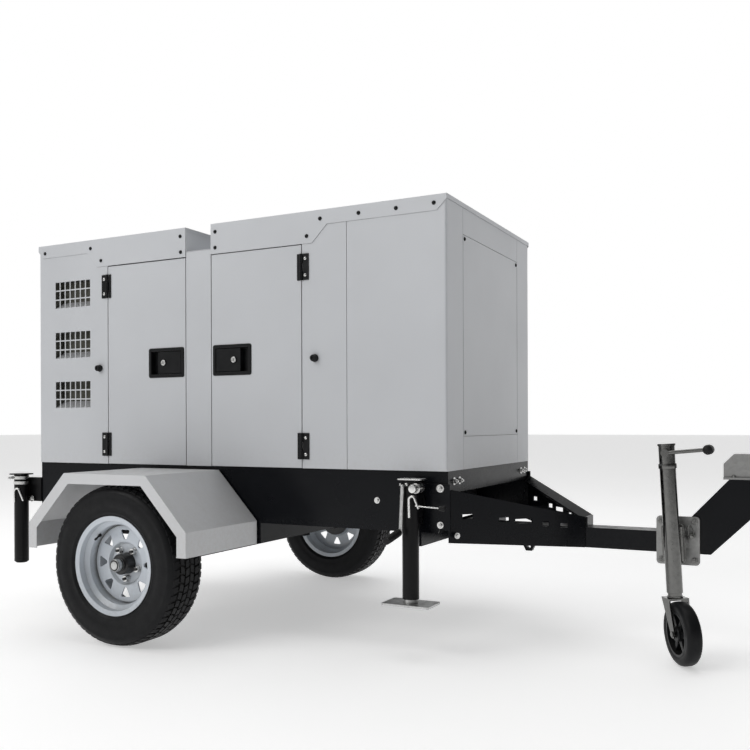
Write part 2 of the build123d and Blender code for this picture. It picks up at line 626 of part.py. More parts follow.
# ---- wheels ---------------------------------------------------------------------------
def tyre():
    """A radial tyre: rounded sidewalls and shoulders, with three grooves round the tread."""
    half = TYRE_WIDTH / 2
    outline = [(RIM_RADIUS, -75.9), (RIM_RADIUS + 17, -78.9), (RIM_RADIUS + 28, -87), (230, -half),
               (262, -half),
               (292, -half + 6), (308, -half + 20), (WHEEL_RADIUS - 1, -half + 36)]
    groove, depth = 5, 8
    for centre in (-32, 0, 32):
        outline += [(WHEEL_RADIUS, centre - groove), (WHEEL_RADIUS - depth, centre - groove),
                    (WHEEL_RADIUS - depth, centre + groove), (WHEEL_RADIUS, centre + groove)]
    outline += [(WHEEL_RADIUS - 1, half - 36), (308, half - 20), (292, half - 6), (262, half), (230, half),
                (RIM_RADIUS + 28, 87), (RIM_RADIUS + 17, 78.9), (RIM_RADIUS, 75.9), (RIM_RADIUS + 4, 66),
                (250, 74),
                (292, 62), (296, 0), (292, -62), (250, -74), (RIM_RADIUS + 4, -66)]
    return [ring_y(outline, -WHEEL_Y)]


DISC_Y = 2.0               # the wheel disc's hub face, from the wheel's middle


WINDOW = ((-25, 133), (25, 133), (5.5, 95), (-5.5, 95))   # crosswise place and radius of each corner


def stud_places():
    """Where the five studs stand round the wheel, as x and z."""
    turns = [radians(36 + step * 72) for step in range(5)]
    return [(STUD_PCD / 2 * sin(turn), WHEEL_RADIUS + STUD_PCD / 2 * cos(turn)) for turn in turns]


def rim():
    """A pressed steel wheel: a drop-centre rim and a dished disc with eight windows."""
    t = 3
    barrel = [(FLANGE_RADIUS, -83), (FLANGE_RADIUS, -79), (RIM_RADIUS, -76), (RIM_RADIUS, -52), (160, -40),
              (160, 20),
              (RIM_RADIUS, 40), (RIM_RADIUS, 76), (FLANGE_RADIUS, 79), (FLANGE_RADIUS, 83),
              (RIM_RADIUS - t, 80),
              (RIM_RADIUS - t, 42), (160 - t, 22), (160 - t, -42), (RIM_RADIUS - t, -54),
              (RIM_RADIUS - t, -80)]
    face = DISC_Y - 13
    disc = [(42, DISC_Y), (78, DISC_Y), (86, face), (150, face), (158, face + 8), (158, face + 14),
            (146, face + 6),
            (88, face + 6), (80, DISC_Y + 6), (42, DISC_Y + 6)]
    wheel = ring_y(barrel, -WHEEL_Y) + ring_y(disc, -WHEEL_Y)
    cuts = []
    for step in range(8):
        cutter = prism([(x, -WHEEL_Y - 60, r) for x, r in WINDOW], (0, 80, 0))
        cutter = fillet(cutter.edges().filter_by(Axis.Y), 5)
        cuts.append(Pos(0, 0, WHEEL_RADIUS) * Rot(0, step * 45, 0) * cutter)
    cuts += [rod((x, -WHEEL_Y - 60, z), (x, -WHEEL_Y + 40, z), 6.3) for x, z in stud_places()]
    return [wheel - cuts]


def hub():
    """The turned hub with its five studs and nuts, and the pressed grease cap."""
    y = -WHEEL_Y + DISC_Y
    z = WHEEL_RADIUS
    flange = rod((0, y + 20, z), (0, y + 6, z), 78)
    barrel = rod((0, y + 66, z), (0, y - 45, z), 40.5)
    barrel = chamfer(barrel.edges().sort_by(Axis.Y)[0], 4)
    cap = rod((0, y - 45, z), (0, y - 75, z), 24.5)
    cap = chamfer(cap.edges().sort_by(Axis.Y)[0], 4)
    body = fused([flange, barrel, cap])
    body = body - rod((0, y + 70, z), (0, -WHEEL_Y - 17.5, z), SPINDLE_R + RUNNING)
    nuts = []
    for x, up in stud_places():
        seat = Plane(origin=(x, y, up), z_dir=(0, -1, 0))
        nuts.append(extrude(seat * RegularPolygon(11, 6), amount=16))
        nuts.append(rod((x, y + 6, up), (x, y - 24, up), 6))
    return [fused([body] + nuts)]


# ---- drawbar, coupling and jockey wheel ------------------------------------------------
ARM_ROOT = (CANOPY_FRONT + 2, 424.0, 622.0)     # x, bottom, top
ARM_TIP = (1626.0, 377.0, 497.0)
ARM_ROOT_Y, ARM_TIP_Y = -494.0, -56.0


def arm_section(x, y, low, high):
    """An upright web with a lip folded in and down at the top and a flange at the bottom."""
    t, wide, fall = 10, 55, 26
    return [(x, y, low), (x, y, high), (x, y + wide, high - fall), (x, y + wide, high - fall - 8),
            (x, y + t, high - 14), (x, y + t, low + 8), (x, y + wide, low + 8), (x, y + wide, low)]


def drawbar_arm():
    root = arm_section(ARM_ROOT[0], ARM_ROOT_Y, ARM_ROOT[1], ARM_ROOT[2])
    tip = arm_section(ARM_TIP[0], ARM_TIP_Y, ARM_TIP[1], ARM_TIP[2])
    faces = [Face(Wire.make_polygon([Vector(*p) for p in points], close=True)) for points in (root, tip)]
    arm = loft(faces, ruled=True)
    lap = block(1130, ARM_ROOT[0] + 8, -BASE_HALF - 8, -BASE_HALF, 470, 640)
    arm = arm + lap
    slope = (ARM_TIP_Y - ARM_ROOT_Y) / (ARM_TIP[0] - ARM_ROOT[0])
    along = Vector(1, slope, 0).normalized()
    for distance, long in ((58, 44), (211, 44), (280, 74), (399, 31), (479, 36)):
        start = Vector(ARM_ROOT[0], ARM_ROOT_Y, 0) + along * distance
        end = start + along * long
        across = Vector(-along.Y, along.X, 0) * 30
        low = 516 - distance * 0.12
        outline = [start - across, end - across, end + across, start + across]
        arm = arm - prism([(p.X, p.Y, low) for p in outline], (0, 0, 18))
    return arm - block(1100, 1700, -BEAM_HALF, BEAM_HALF, BEAM_LOW - 9, BEAM_HIGH)


def drawbar_arms():
    return both(drawbar_arm())


def neck_outline(shrink):
    """The swan neck's side outline, drawn in by a wall's thickness; both ends stay open."""
    s = shrink
    slant = 0.41 * s
    return [(NECK_START - 1, BEAM_LOW + s), (2087 - slant, BEAM_LOW + s), (2254 - slant, 545 + s),
            (2351, 545 + s),
            (2351, 655 - s), (2150 + slant, 655 - s), (NECK_START - 1, BEAM_HIGH - s)]


LUG_X, LUG_Z = 1385.0, 361.0


def tow_beam():
    """A box-section beam that runs from under the base and rises into a welded swan neck."""
    wall = 5
    beam = block(1120, NECK_START, -BEAM_HALF, BEAM_HALF, BEAM_LOW, BEAM_HIGH)
    beam = beam - block(1119, NECK_START + 1, -BEAM_HALF + wall, BEAM_HALF - wall, BEAM_LOW + wall,
                        BEAM_HIGH - wall)
    neck = plate_xz(neck_outline(0), -BEAM_HALF, BEAM_HALF)
    neck = neck - plate_xz(neck_outline(6), -BEAM_HALF + 6, BEAM_HALF - 6)
    neck = neck - block(2350, 2360, -99, 99, 500, 700)
    end_plate = block(ARM_TIP[0] + 0.4, ARM_TIP[0] + 8, -47, 47, BEAM_HIGH - 1, 496)
    lug = plate_xz([(1355, BEAM_LOW + 1), (1415, BEAM_LOW + 1), (1397, 343), (1373, 343)], -12, 12)
    lug = lug - rod((LUG_X, -20, LUG_Z), (LUG_X, 20, LUG_Z), 8)
    return [fused([beam, neck, end_plate, lug])]


BALL_X = 2430.0
BALL_R = 25.2
HEAD_R = 45.0


LATCH = (2345.0, 762.0)     # x, z of the lever's pin


def coupling_body():
    """A pressed coupling bolted on top of the neck, with a cup for a 50 mm ball under its head."""
    side = [(2130, 655), (2130, 712), (2165, 748), (2290, 748), (BALL_X - 20, 722), (BALL_X, 722),
            (BALL_X, 655)]
    body = plate_xz(side, -36, 36)
    head = rod((BALL_X, 0, 640), (BALL_X, 0, 722), HEAD_R)
    head = chamfer(head.edges().sort_by(Axis.Z)[-1], 8)
    flange = block(2130, 2345, -48, 48, 655, 663)
    body = fused([body, head, flange])
    ears = [block(2335, 2355, side * 14.5, side * 19, 722, 772) for side in (-1, 1)]
    pin = rod((LATCH[0], -19, LATCH[1]), (LATCH[0], 19, LATCH[1]), 4)
    body = fused([body, pin] + ears)
    body = body - block(2140, 2375, -28, 28, 654, 712)
    body = body - Pos(BALL_X, 0, 666) * Sphere(BALL_R)
    body = body - rod((BALL_X, 0, 630), (BALL_X, 0, 666), BALL_R)
    bolts = []
    for x in (2165, 2310):
        for y in (-42, 42):
            bolts.append(extrude(Plane(origin=(x, y, 663), z_dir=(0, 0, 1)) * RegularPolygon(6, 6),
                                 amount=7))
    return [fused([body] + bolts)]


def coupling_latch():
    """The lift lever on the coupling's head."""
    x, z = LATCH
    boss = rod((x, -14, z), (x, 14, z), 9)
    outline = [(x - 6, z - 6), (x, z + 9), (x + 70, z + 4), (x + 108, z + 16), (x + 118, z + 10),
               (x + 106, z - 2),
               (x + 66, z - 6)]
    lever = plate_xz(outline, -14, 14) + boss
    return [lever - rod((x, -15, z), (x, 15, z), 4 + RUNNING)]


def jockey_bracket():
    """The clamp plate on the beam and the round boss that the jockey wheel swings on."""
    x, z = JOCKEY_PIVOT
    plate = block(1896, 2050, -BEAM_HALF - 12, -BEAM_HALF, 335, 515)
    plate = fillet(plate.edges().filter_by(Axis.Y), 14)
    boss = rod((x, -BEAM_HALF - 12, z), (x, -106, z), 44)
    pin = rod((x, -106, z), (x, -137, z), 14)
    bolts = []
    for bx in (1914, 2032):
        for bz in (353, 497):
            seat = Plane(origin=(bx, -BEAM_HALF - 12, bz), z_dir=(0, -1, 0))
            bolts.append(extrude(seat * RegularPolygon(11, 6), amount=9))
    return [fused([plate, boss, pin] + bolts)]


def lean(shape):
    """Tip an upright jockey piece about its swing pivot."""
    x, z = JOCKEY_PIVOT
    return Pos(x, 0, z) * Rot(0, -JOCKEY_LEAN, 0) * Pos(-x, 0, -z) * shape


JOCKEY_TOP = 365.0         # above the pivot
JOCKEY_MOUTH = -172.0
CRANK_DROP = 32.0


def jockey_tube():
    """The outer tube with its swivel collar, cap and crank boss."""
    x, z = JOCKEY_PIVOT
    y = JOCKEY_Y
    tube = rod((x, y, z + JOCKEY_MOUTH), (x, y, z + JOCKEY_TOP - 8), JOCKEY_TUBE_R, JOCKEY_TUBE_R - 3)
    cap = rod((x, y, z + JOCKEY_TOP - 8), (x, y, z + JOCKEY_TOP), JOCKEY_TUBE_R + 3)
    collar = block(x - 40, x + 40, -139, -106.4, z - 70, z + 70)
    collar = fillet(collar.edges().filter_by(Axis.Y), 14)
    yoke = block(x - 36, x + 36, -160, -139, z - 62, z + 62)
    body = fused([collar, yoke]) - rod((x, y, z - 99), (x, y, z + 99), JOCKEY_TUBE_R - 1)
    body = body - rod((x, -100, z), (x, -141, z), 14 + RUNNING)
    up = z + JOCKEY_TOP - CRANK_DROP
    boss = rod((x, y - JOCKEY_TUBE_R + 2, up), (x, y - JOCKEY_TUBE_R - 8, up), 17)
    drill = rod((x, y - 20, up), (x, y - 60, up), 8 + RUNNING)
    return [lean(fused([tube, cap, body, boss]) - drill)]


def jockey_crank():
    """The side crank: a shaft into the tube, an arm and a round grip."""
    x, z = JOCKEY_PIVOT
    y, up = JOCKEY_Y, z + JOCKEY_TOP - CRANK_DROP
    shaft = rod((x, y - 22, up), (x, y - 46, up), 8)
    end = (x + 150, y - 45, up + 6)
    arm = rod((x - 12, y - 45, up - 1), end, 7)
    hub_piece = rod((x, y - 37, up), (x, y - 53, up), 14)
    grip = rod((end[0], y - 32, end[2]), (end[0], y - 100, end[2]), 15)
    grip = fillet(grip.edges(), 5)
    return [lean(fused([shaft, arm, hub_piece, grip]))]


LEG_R = 25.0
FORK_TOP = -188.0          # below the pivot, where the leg meets the castor
TRAIL = 45.0
JOCKEY_WHEEL_R = 113.0
JOCKEY_WHEEL_WIDTH = 56.0
AXLE_DROP = 122.0          # castor top to wheel axle


def ground_drop():
    """How far down the leg the castor stands so that its leaning wheel just meets the ground."""
    wheel = jockey_wheel_at(0)
    return wheel.bounding_box().min.Z / cos(radians(JOCKEY_LEAN))


def castor_turn(shape):
    """Turn a castor piece about the jockey tube's axis."""
    x = JOCKEY_PIVOT[0]
    return Pos(x, JOCKEY_Y, 0) * Rot(0, 0, -JOCKEY_TURN) * Pos(-x, -JOCKEY_Y, 0) * shape


def jockey_wheel_at(drop):
    x, z = JOCKEY_PIVOT
    axle_x, axle_z = x + TRAIL, z + FORK_TOP - AXLE_DROP - drop
    r, half = JOCKEY_WHEEL_R, JOCKEY_WHEEL_WIDTH / 2
    profile = [(10.05, -half), (30, -half), (34, -10), (70, -10), (76, -half + 2), (96, -half),
               (r - 6, -half + 7),
               (r, -half + 16), (r, half - 16), (r - 6, half - 7), (96, half), (76, half - 2), (70, 10),
               (34, 10),
               (30, half), (10.05, half)]
    wheel = ring_y(profile, JOCKEY_Y, axle_x, axle_z)
    return lean(castor_turn(wheel))


def jockey_leg(drop):
    """The inner leg that the screw drives."""
    x, z = JOCKEY_PIVOT
    low = z + FORK_TOP - drop
    leg = rod((x, JOCKEY_Y, low + 5), (x, JOCKEY_Y, z + 120), LEG_R, LEG_R - 4)
    foot = rod((x, JOCKEY_Y, low), (x, JOCKEY_Y, low + 5), LEG_R + 3)
    stem = rod((x, JOCKEY_Y, low - 7.3), (x, JOCKEY_Y, low), 10)
    return [lean(fused([leg, foot, stem]))]


def jockey_fork(drop):
    """The castor fork with the wheel's axle bolt."""
    x, z = JOCKEY_PIVOT
    top = z + FORK_TOP - drop - 0.3
    axle_x, axle_z = x + TRAIL, z + FORK_TOP - AXLE_DROP - drop
    gap = JOCKEY_WHEEL_WIDTH / 2 + 4
    y = JOCKEY_Y
    crown = block(x - 34, x + 34, y - gap - 5, y + gap + 5, top - 7, top)
    crown = crown - rod((x, y, top - 20), (x, y, top + 5), 10 + RUNNING)
    crown = fillet(crown.edges().filter_by(Axis.Z).filter_by(lambda e: abs(e.center().X - x) > 30), 8)
    legs = []
    for side in (-1, 1):
        leg = plate_xz([(x - 34, top), (x + 34, top), (x + 34, top - 22), (axle_x + 16, axle_z),
                        (axle_x + 8, axle_z - 14), (axle_x - 8, axle_z - 14), (axle_x - 16, axle_z)],
                       y + side * gap, y + side * (gap + 5))
        legs.append(leg)
    bolt = rod((axle_x, y - gap - 9, axle_z), (axle_x, y + gap + 9, axle_z), 10)
    return [lean(castor_turn(fused([crown, bolt] + legs)))]


# ---- jacks ----------------------------------------------------------------------------
JACK_R = 31.0
JACK_TOP, JACK_MOUTH = 658.0, 222.0
PROP_TOP, PROP_MOUTH = 626.0, 214.0
PROP_R = 33.0
CRANK_X, CRANK_Z = JACK_X - 14, 636.0
JACK_PIVOT_Z = 572.0
JACK_FLANGE_OUT = 512.0    # outer face of the fixed half of the jack's swivel
JACK_PIN_R = 12.0


def jack_bracket():
    """The plate and round flange on the base's side that a front jack swings on."""
    cheek = block(JACK_X - 50, JACK_X + 20, -BASE_HALF - 14, -BASE_HALF, 490, 655)
    cheek = fillet(cheek.edges().filter_by(Axis.Y), 6)
    flange = rod((JACK_X, -BASE_HALF - 10, JACK_PIVOT_Z), (JACK_X, -JACK_FLANGE_OUT, JACK_PIVOT_Z), 36)
    pin = rod((JACK_X, -BASE_HALF - 10, JACK_PIVOT_Z), (JACK_X, -524, JACK_PIVOT_Z), JACK_PIN_R)
    clear_of_arm = block(1129, 1200, -504, -BASE_HALF + 1, 400, 700)
    return fused([cheek, flange, pin]) - clear_of_arm


def jack_tube():
    """A front corner jack's outer tube with the moving half of its swivel."""
    tube = rod((JACK_X, -JACK_Y, JACK_MOUTH), (JACK_X, -JACK_Y, JACK_TOP), JACK_R)
    saddle = block(JACK_X - 28, JACK_X + 28, -JACK_Y + 10, -JACK_FLANGE_OUT - 0.4, JACK_PIVOT_Z - 52,
                   JACK_PIVOT_Z + 52)
    saddle = fillet(saddle.edges().filter_by(Axis.Y), 8)
    body = fused([tube, saddle])
    body = body - rod((JACK_X, -JACK_Y, JACK_MOUTH - 1), (JACK_X, -JACK_Y, JACK_TOP - 8), JACK_R - 4)
    body = body - rod((JACK_X, -JACK_FLANGE_OUT, JACK_PIVOT_Z), (JACK_X, -526, JACK_PIVOT_Z),
                      JACK_PIN_R + RUNNING)
    return body - rod((CRANK_X, -JACK_Y + 9, CRANK_Z), (CRANK_X, -JACK_Y - 40, CRANK_Z), 7 + RUNNING)


def stowed(shape):
    """Swing a front jack piece up, its foot to the rear; the left jack rests like this."""
    return Pos(JACK_X, 0, JACK_PIVOT_Z) * Rot(0, 90, 0) * Pos(-JACK_X, 0, -JACK_PIVOT_Z) * shape


def front_jack_piece(shape, side):
    """The right jack stands down; the left one is swung up."""
    return shape if side == "right" else stowed(flip(shape))


def prop_tube():
    """A rear prop stand's tube on a bracket from the base's rear corner."""
    tube = rod((PROP_X, -PROP_Y, PROP_MOUTH), (PROP_X, -PROP_Y, PROP_TOP), PROP_R)
    bracket = block(PROP_X, CANOPY_REAR, -BASE_HALF - 6, -BASE_HALF + 34, 500, 612)
    cap = block(PROP_X - 40, PROP_X + 40, -PROP_Y - 36, -PROP_Y + 36, PROP_TOP, PROP_TOP + 6)
    body = fused([tube, bracket, cap])
    return body - rod((PROP_X, -PROP_Y, PROP_MOUTH - 1), (PROP_X, -PROP_Y, PROP_TOP - 8), PROP_R - 4)


def jack_mounts():
    return both(jack_bracket()) + both(prop_tube())


FOOT = (190.0, 118.0, 8.0)


def jack_leg():
    """The inner leg with its foot plate."""
    low = 200.0
    leg = rod((JACK_X, -JACK_Y, low + FOOT[2]), (JACK_X, -JACK_Y, 560), JACK_R - 4.4, JACK_R - 9)
    foot = block(JACK_X - FOOT[0] / 2, JACK_X + FOOT[0] / 2, -JACK_Y - FOOT[1] / 2, -JACK_Y + FOOT[1] / 2,
                 low,
                 low + FOOT[2])
    foot = fillet(foot.edges().filter_by(Axis.Z), 10)
    return leg + foot


def prop_leg():
    """A rear prop's inner tube, capped at its foot."""
    leg = rod((PROP_X, -PROP_Y, 208), (PROP_X, -PROP_Y, 560), PROP_R - 4.4)
    leg = chamfer(leg.edges().sort_by(Axis.Z)[0], 4)
    return [leg - rod((PROP_X, -PROP_Y, 218), (PROP_X, -PROP_Y, 561), PROP_R - 9)]


def jack_crank():
    """The bent crank: a shaft into the jack, a hanging arm and a grip that points out."""
    x, y, z = CRANK_X, -JACK_Y, CRANK_Z
    out = y - JACK_R - 10
    shaft = rod((x, y - 20, z), (x, out, z), 7)
    elbow = Pos(x, out, z) * Sphere(7)
    arm = rod((x, out, z), (x - 8, out, z - 165), 7)
    knee = Pos(x - 8, out, z - 165) * Sphere(7)
    tip = (x - 14, out - 105, z - 188)
    spindle = rod((x - 8, out, z - 165), tip, 6)
    middle = (x - 9, out - 12, z - 167.6)
    grip = rod(middle, tip, 13)
    return fused([shaft, elbow, arm, knee, spindle, grip])


# ---- fasteners ------------------------------------------------------------------------
def frame_bolts():
    """Plated bolt heads where the drawbar and jacks are bolted on."""
    heads = []
    side_face = -BASE_HALF - 8
    for x, z in ((1200, 624), (1200, 489)):
        heads.append(extrude(Plane(origin=(x, side_face, z), z_dir=(0, -1, 0)) * RegularPolygon(13, 6),
                             amount=9))
    heads.append(extrude(Plane(origin=(935, -BASE_HALF, 570), z_dir=(0, -1, 0)) * RegularPolygon(9, 6),
                         amount=7))
    for y in (-433, -379):
        heads.append(extrude(Plane(origin=(CANOPY_FRONT, y, 648), z_dir=(1, 0, 0)) * RegularPolygon(11, 6),
                             amount=12))
    return heads + [flip(head) for head in heads]


REAR_SCREWS = ((-816, 1672), (-527, 1670), (-463, 1609), (-6, 1673), (-4, 1605))
FRONT_SCREWS = ((180, 1674), (180, 1607), (631, 1610), (693, 1673), (865, 1676), (1025, 1676), (1180, 1678))
DOOR_STOPS = ((-473, 1120), (667, 1124))


def screws_and_stops():
    """Button-head screws on the roof skirts and front cover, and the stops the doors fold back on."""
    screws = []
    for x, z in REAR_SCREWS + FRONT_SCREWS:
        screws.append(rod((x, -SKIRT_OUT, z), (x, -SKIRT_OUT - 3.5, z), 7))
    for x, z in DOOR_STOPS:
        stop = rod((x, -CANOPY_HALF, z), (x, -CANOPY_HALF - 22, z), 15)
        screws.append(chamfer(stop.edges().sort_by(Axis.Y)[0], 5))
    screws += [flip(screw) for screw in screws]
    for y in (-316, 316):
        for z in (829, 1574):
            screws.append(rod((CANOPY_FRONT, y, z), (CANOPY_FRONT + 3.5, y, z), 7))
    return screws


# ---- write the parts ------------------------------------------------------------------
def save(name, pieces):
    """Write one node, shifted so that the origin is under the middle of the trailer."""
    solids = []
    for piece in pieces:
        solids += list(piece.solids())
    shifted = [Pos(AXLE_X, 0, 0) * solid for solid in solids]
    whole = shifted[0] if len(shifted) == 1 else Compound(children=shifted)
    export_step(whole, f"parts/{name}.step")


def main():
    os.makedirs("parts", exist_ok=True)
    drop = ground_drop()
    fixed = (base_frame, fuel_tank, axle_beam, mudguards, drawbar_arms, tow_beam, coupling_body, frame_bolts,
             rear_side_panels, rear_wall, fixed_side_panels, front_wall, front_cover, roof_rear, roof_front,
             fixed_hinge_leaves, screws_and_stops, control_door, stop_button, engine,
             cooling_fan, alternator, radiator, silencer, battery, control_panel, jack_mounts, jockey_bracket,
             jockey_tube, jockey_crank, coupling_latch)
    for make in fixed:
        save(make.__name__, make())
    save("jockey_leg", jockey_leg(drop))
    save("jockey_fork", jockey_fork(drop))
    save("jockey_wheel", [jockey_wheel_at(drop)])
    for side in ("right", "left"):
        for which in ("front", "rear"):
            for name, make in (("", door_panel), ("_hardware", door_hardware), ("_paddle", paddle)):
                save(f"door_{which}_{side}{name}", [side_of(piece, side) for piece in make(which)])
        for name, make in (("tyre", tyre), ("rim", rim), ("hub", hub), ("jack_leg_rear", prop_leg)):
            save(f"{name}_{side}", [side_of(piece, side) for piece in make()])
        for name, piece in (("jack_tube", jack_tube()), ("jack_leg_front", jack_leg()),
                            ("jack_crank", jack_crank())):
            save(f"{name}_{side}", [front_jack_piece(piece, side)])


main()
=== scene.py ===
import json
import math

import bmesh
import bpy
from mathutils import Matrix, Vector


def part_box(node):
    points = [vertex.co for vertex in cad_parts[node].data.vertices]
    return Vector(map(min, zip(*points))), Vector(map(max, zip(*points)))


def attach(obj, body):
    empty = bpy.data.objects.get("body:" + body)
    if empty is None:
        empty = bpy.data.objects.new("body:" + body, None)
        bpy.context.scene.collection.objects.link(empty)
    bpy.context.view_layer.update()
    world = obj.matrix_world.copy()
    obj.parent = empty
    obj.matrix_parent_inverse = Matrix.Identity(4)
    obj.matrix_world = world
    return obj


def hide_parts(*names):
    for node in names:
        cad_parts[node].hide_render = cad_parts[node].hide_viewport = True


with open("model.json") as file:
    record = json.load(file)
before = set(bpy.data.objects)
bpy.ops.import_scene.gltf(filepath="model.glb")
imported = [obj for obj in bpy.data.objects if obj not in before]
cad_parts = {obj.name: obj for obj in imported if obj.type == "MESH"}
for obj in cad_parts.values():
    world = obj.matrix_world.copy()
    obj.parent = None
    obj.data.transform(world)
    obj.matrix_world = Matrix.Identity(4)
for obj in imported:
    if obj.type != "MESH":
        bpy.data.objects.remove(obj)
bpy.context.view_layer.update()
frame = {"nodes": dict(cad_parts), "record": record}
nodes = frame["nodes"]

axle_low, axle_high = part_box("axle_beam")
AXLE = (axle_low.x + axle_high.x) / 2      # the axle's place along X, in metres
MM = 0.001


def place(x, y, z):
    """A point given in millimetres from the ground under the axle, in the frame's metres."""
    return Vector((AXLE + x * MM, y * MM, z * MM))


# ---- procedural materials ---------------------------------------------------------------
class Graph:
    """A material's node tree, built one node at a time."""

    def __init__(self, name):
        self.material = bpy.data.materials.new(name)
        self.material.use_nodes = True
        self.tree = self.material.node_tree
        self.tree.nodes.clear()
        self.out = self.add("ShaderNodeOutputMaterial")
        self.shader = self.add("ShaderNodeBsdfPrincipled")
        self.link(self.shader, "BSDF", self.out, "Surface")
        self.coord = self.add("ShaderNodeTexCoord")

    def add(self, kind, **settings):
        node = self.tree.nodes.new(kind)
        for key, value in settings.items():
            setattr(node, key, value)
        return node

    def link(self, a, out, b, into):
        self.tree.links.new(a.outputs[out], b.inputs[into])

    def scaled(self, scale):
        mapping = self.add("ShaderNodeMapping")
        mapping.inputs["Scale"].default_value = scale
        self.link(self.coord, "Object", mapping, "Vector")
        return mapping

    def noise(self, scale, detail=4.0, rough=0.55, stretch=(1, 1, 1)):
        node = self.add("ShaderNodeTexNoise")
        node.inputs["Scale"].default_value = scale
        node.inputs["Detail"].default_value = detail
        node.inputs["Roughness"].default_value = rough
        self.link(self.scaled(stretch), "Vector", node, "Vector")
        return node.outputs["Fac"]

    def cells(self, scale, feature="F1"):
        node = self.add("ShaderNodeTexVoronoi", feature=feature)
        node.inputs["Scale"].default_value = scale
        self.link(self.coord, "Object", node, "Vector")
        return node

    def ramp(self, source, low, high, to_low=0.0, to_high=1.0):
        node = self.add("ShaderNodeMapRange")
        node.inputs["From Min"].default_value = low
        node.inputs["From Max"].default_value = high
        node.inputs["To Min"].default_value = to_low
        node.inputs["To Max"].default_value = to_high
        self.tree.links.new(source, node.inputs["Value"])
        return node.outputs["Result"]

    def math(self, operation, a, b=None, clamp=False):
        node = self.add("ShaderNodeMath", operation=operation, use_clamp=clamp)
        for index, value in enumerate((a, b)):
            if value is None:
                continue
            if isinstance(value, (int, float)):
                node.inputs[index].default_value = value
            else:
                self.tree.links.new(value, node.inputs[index])
        return node.outputs["Value"]

    def blend(self, mask, a, b):
        node = self.add("ShaderNodeMix", data_type="RGBA")
        self.tree.links.new(mask, node.inputs["Factor"])
        for socket, value in ((node.inputs["A"], a), (node.inputs["B"], b)):
            if isinstance(value, tuple):
                socket.default_value = (*value, 1)
            else:
                self.tree.links.new(value, socket)
        return node.outputs["Result"]

    def height(self, axis="Z"):
        split = self.add("ShaderNodeSeparateXYZ")
        self.link(self.coord, "Object", split, "Vector")
        return split.outputs[axis]

    def facing_up(self):
        geometry = self.add("ShaderNodeNewGeometry")
        split = self.add("ShaderNodeSeparateXYZ")
        self.link(geometry, "Normal", split, "Vector")
        return split.outputs["Z"]

    def edges(self, radius):
        """1 along sharp edges, 0 on flats, with the softened normal."""
        bevel = self.add("ShaderNodeBevel", samples=4)
        bevel.inputs["Radius"].default_value = radius
        geometry = self.add("ShaderNodeNewGeometry")
        dot = self.add("ShaderNodeVectorMath", operation="DOT_PRODUCT")
        self.link(bevel, "Normal", dot, 0)
        self.link(geometry, "Normal", dot, 1)
        return self.ramp(dot.outputs["Value"], 0.985, 0.80), bevel.outputs["Normal"]

    def crevice(self, distance):
        node = self.add("ShaderNodeAmbientOcclusion", samples=6)
        node.inputs["Distance"].default_value = distance
        return node.outputs["AO"]

    def bump(self, source, strength, distance, normal=None):
        node = self.add("ShaderNodeBump")
        node.inputs["Strength"].default_value = strength
        node.inputs["Distance"].default_value = distance
        self.tree.links.new(source, node.inputs["Height"])
        if normal is not None:
            self.tree.links.new(normal, node.inputs["Normal"])
        return node.outputs["Normal"]

    def set(self, **values):
        for key, value in values.items():
            socket = self.shader.inputs[key.replace("_", " ")]
            if isinstance(value, (int, float, tuple)):
                socket.default_value = value
            else:
                self.tree.links.new(value, socket)
        return self.material


def paint(name, colour, rough, dust, crevice_shade_and_soil=0.35, edge=0.0012, wear=0.25, worn=(0.42, 0.42, 0.41), peel=0.12,
          coat=0.0, low=None, high=None, settle=0.30, splashed=0.45, specular=0.5):
    """Sprayed steel: orange peel, uneven tone, dust on top, soiling with painted shade in corners and rubbed
    edges.
    """
    g = Graph(name)
    cloud = g.noise(1.7, 3.0)
    streak = g.noise(9.0, 5.0, 0.6, (1, 1, 0.12))
    dark = tuple(c * 0.93 for c in colour)
    base = g.blend(g.ramp(cloud, 0.3, 0.7), dark, colour)
    # Ambient occlusion in crevices, broken by streaks, blends toward a dark dust tone: painted shade on the
    # light paints, soiling on the black ones.
    crevice_mask = g.math("MULTIPLY", g.ramp(g.crevice(0.035), 0.85, 0.25), g.ramp(streak, 0.30, 0.62), True)
    base = g.blend(g.math("MULTIPLY", crevice_mask, crevice_shade_and_soil, True), base, tuple(c * 0.35 for c in dust))
    settled = g.math("MULTIPLY", g.ramp(g.facing_up(), 0.5, 1.0),
                     g.ramp(g.noise(24.0, 6.0, 0.7), 0.35, 0.75), True)
    base = g.blend(g.math("MULTIPLY", settled, settle, True), base, dust)
    if low is not None:
        splash = g.math("MULTIPLY", g.ramp(g.height(), high, low),
                        g.ramp(g.noise(60.0, 5.0, 0.75), 0.42, 0.72), True)
        base = g.blend(g.math("MULTIPLY", splash, splashed, True), base, dust)
    edge_mask, soft = g.edges(edge)
    rubbed = g.math("MULTIPLY", edge_mask, g.ramp(g.noise(38.0, 5.0, 0.7), 0.50, 0.66), True)
    base = g.blend(g.math("MULTIPLY", rubbed, wear, True), base, worn)
    uneven = g.ramp(g.noise(5.0, 5.0), 0.25, 0.75, rough - 0.05, rough + 0.07)
    rougher = g.math("MULTIPLY", settled, 0.25)
    roughness = g.math("ADD", uneven, rougher, True)
    peeled = g.bump(g.noise(520.0, 2.0, 0.5), peel, 0.0004, soft)
    ripple = g.bump(g.noise(3.2, 2.0, 0.4), 0.05, 0.004, peeled)
    g.shader.inputs["Coat Weight"].default_value = coat
    g.shader.inputs["Coat Roughness"].default_value = 0.12
    g.shader.inputs["Specular IOR Level"].default_value = specular
    return g.set(Base_Color=base, Roughness=roughness, Normal=ripple)


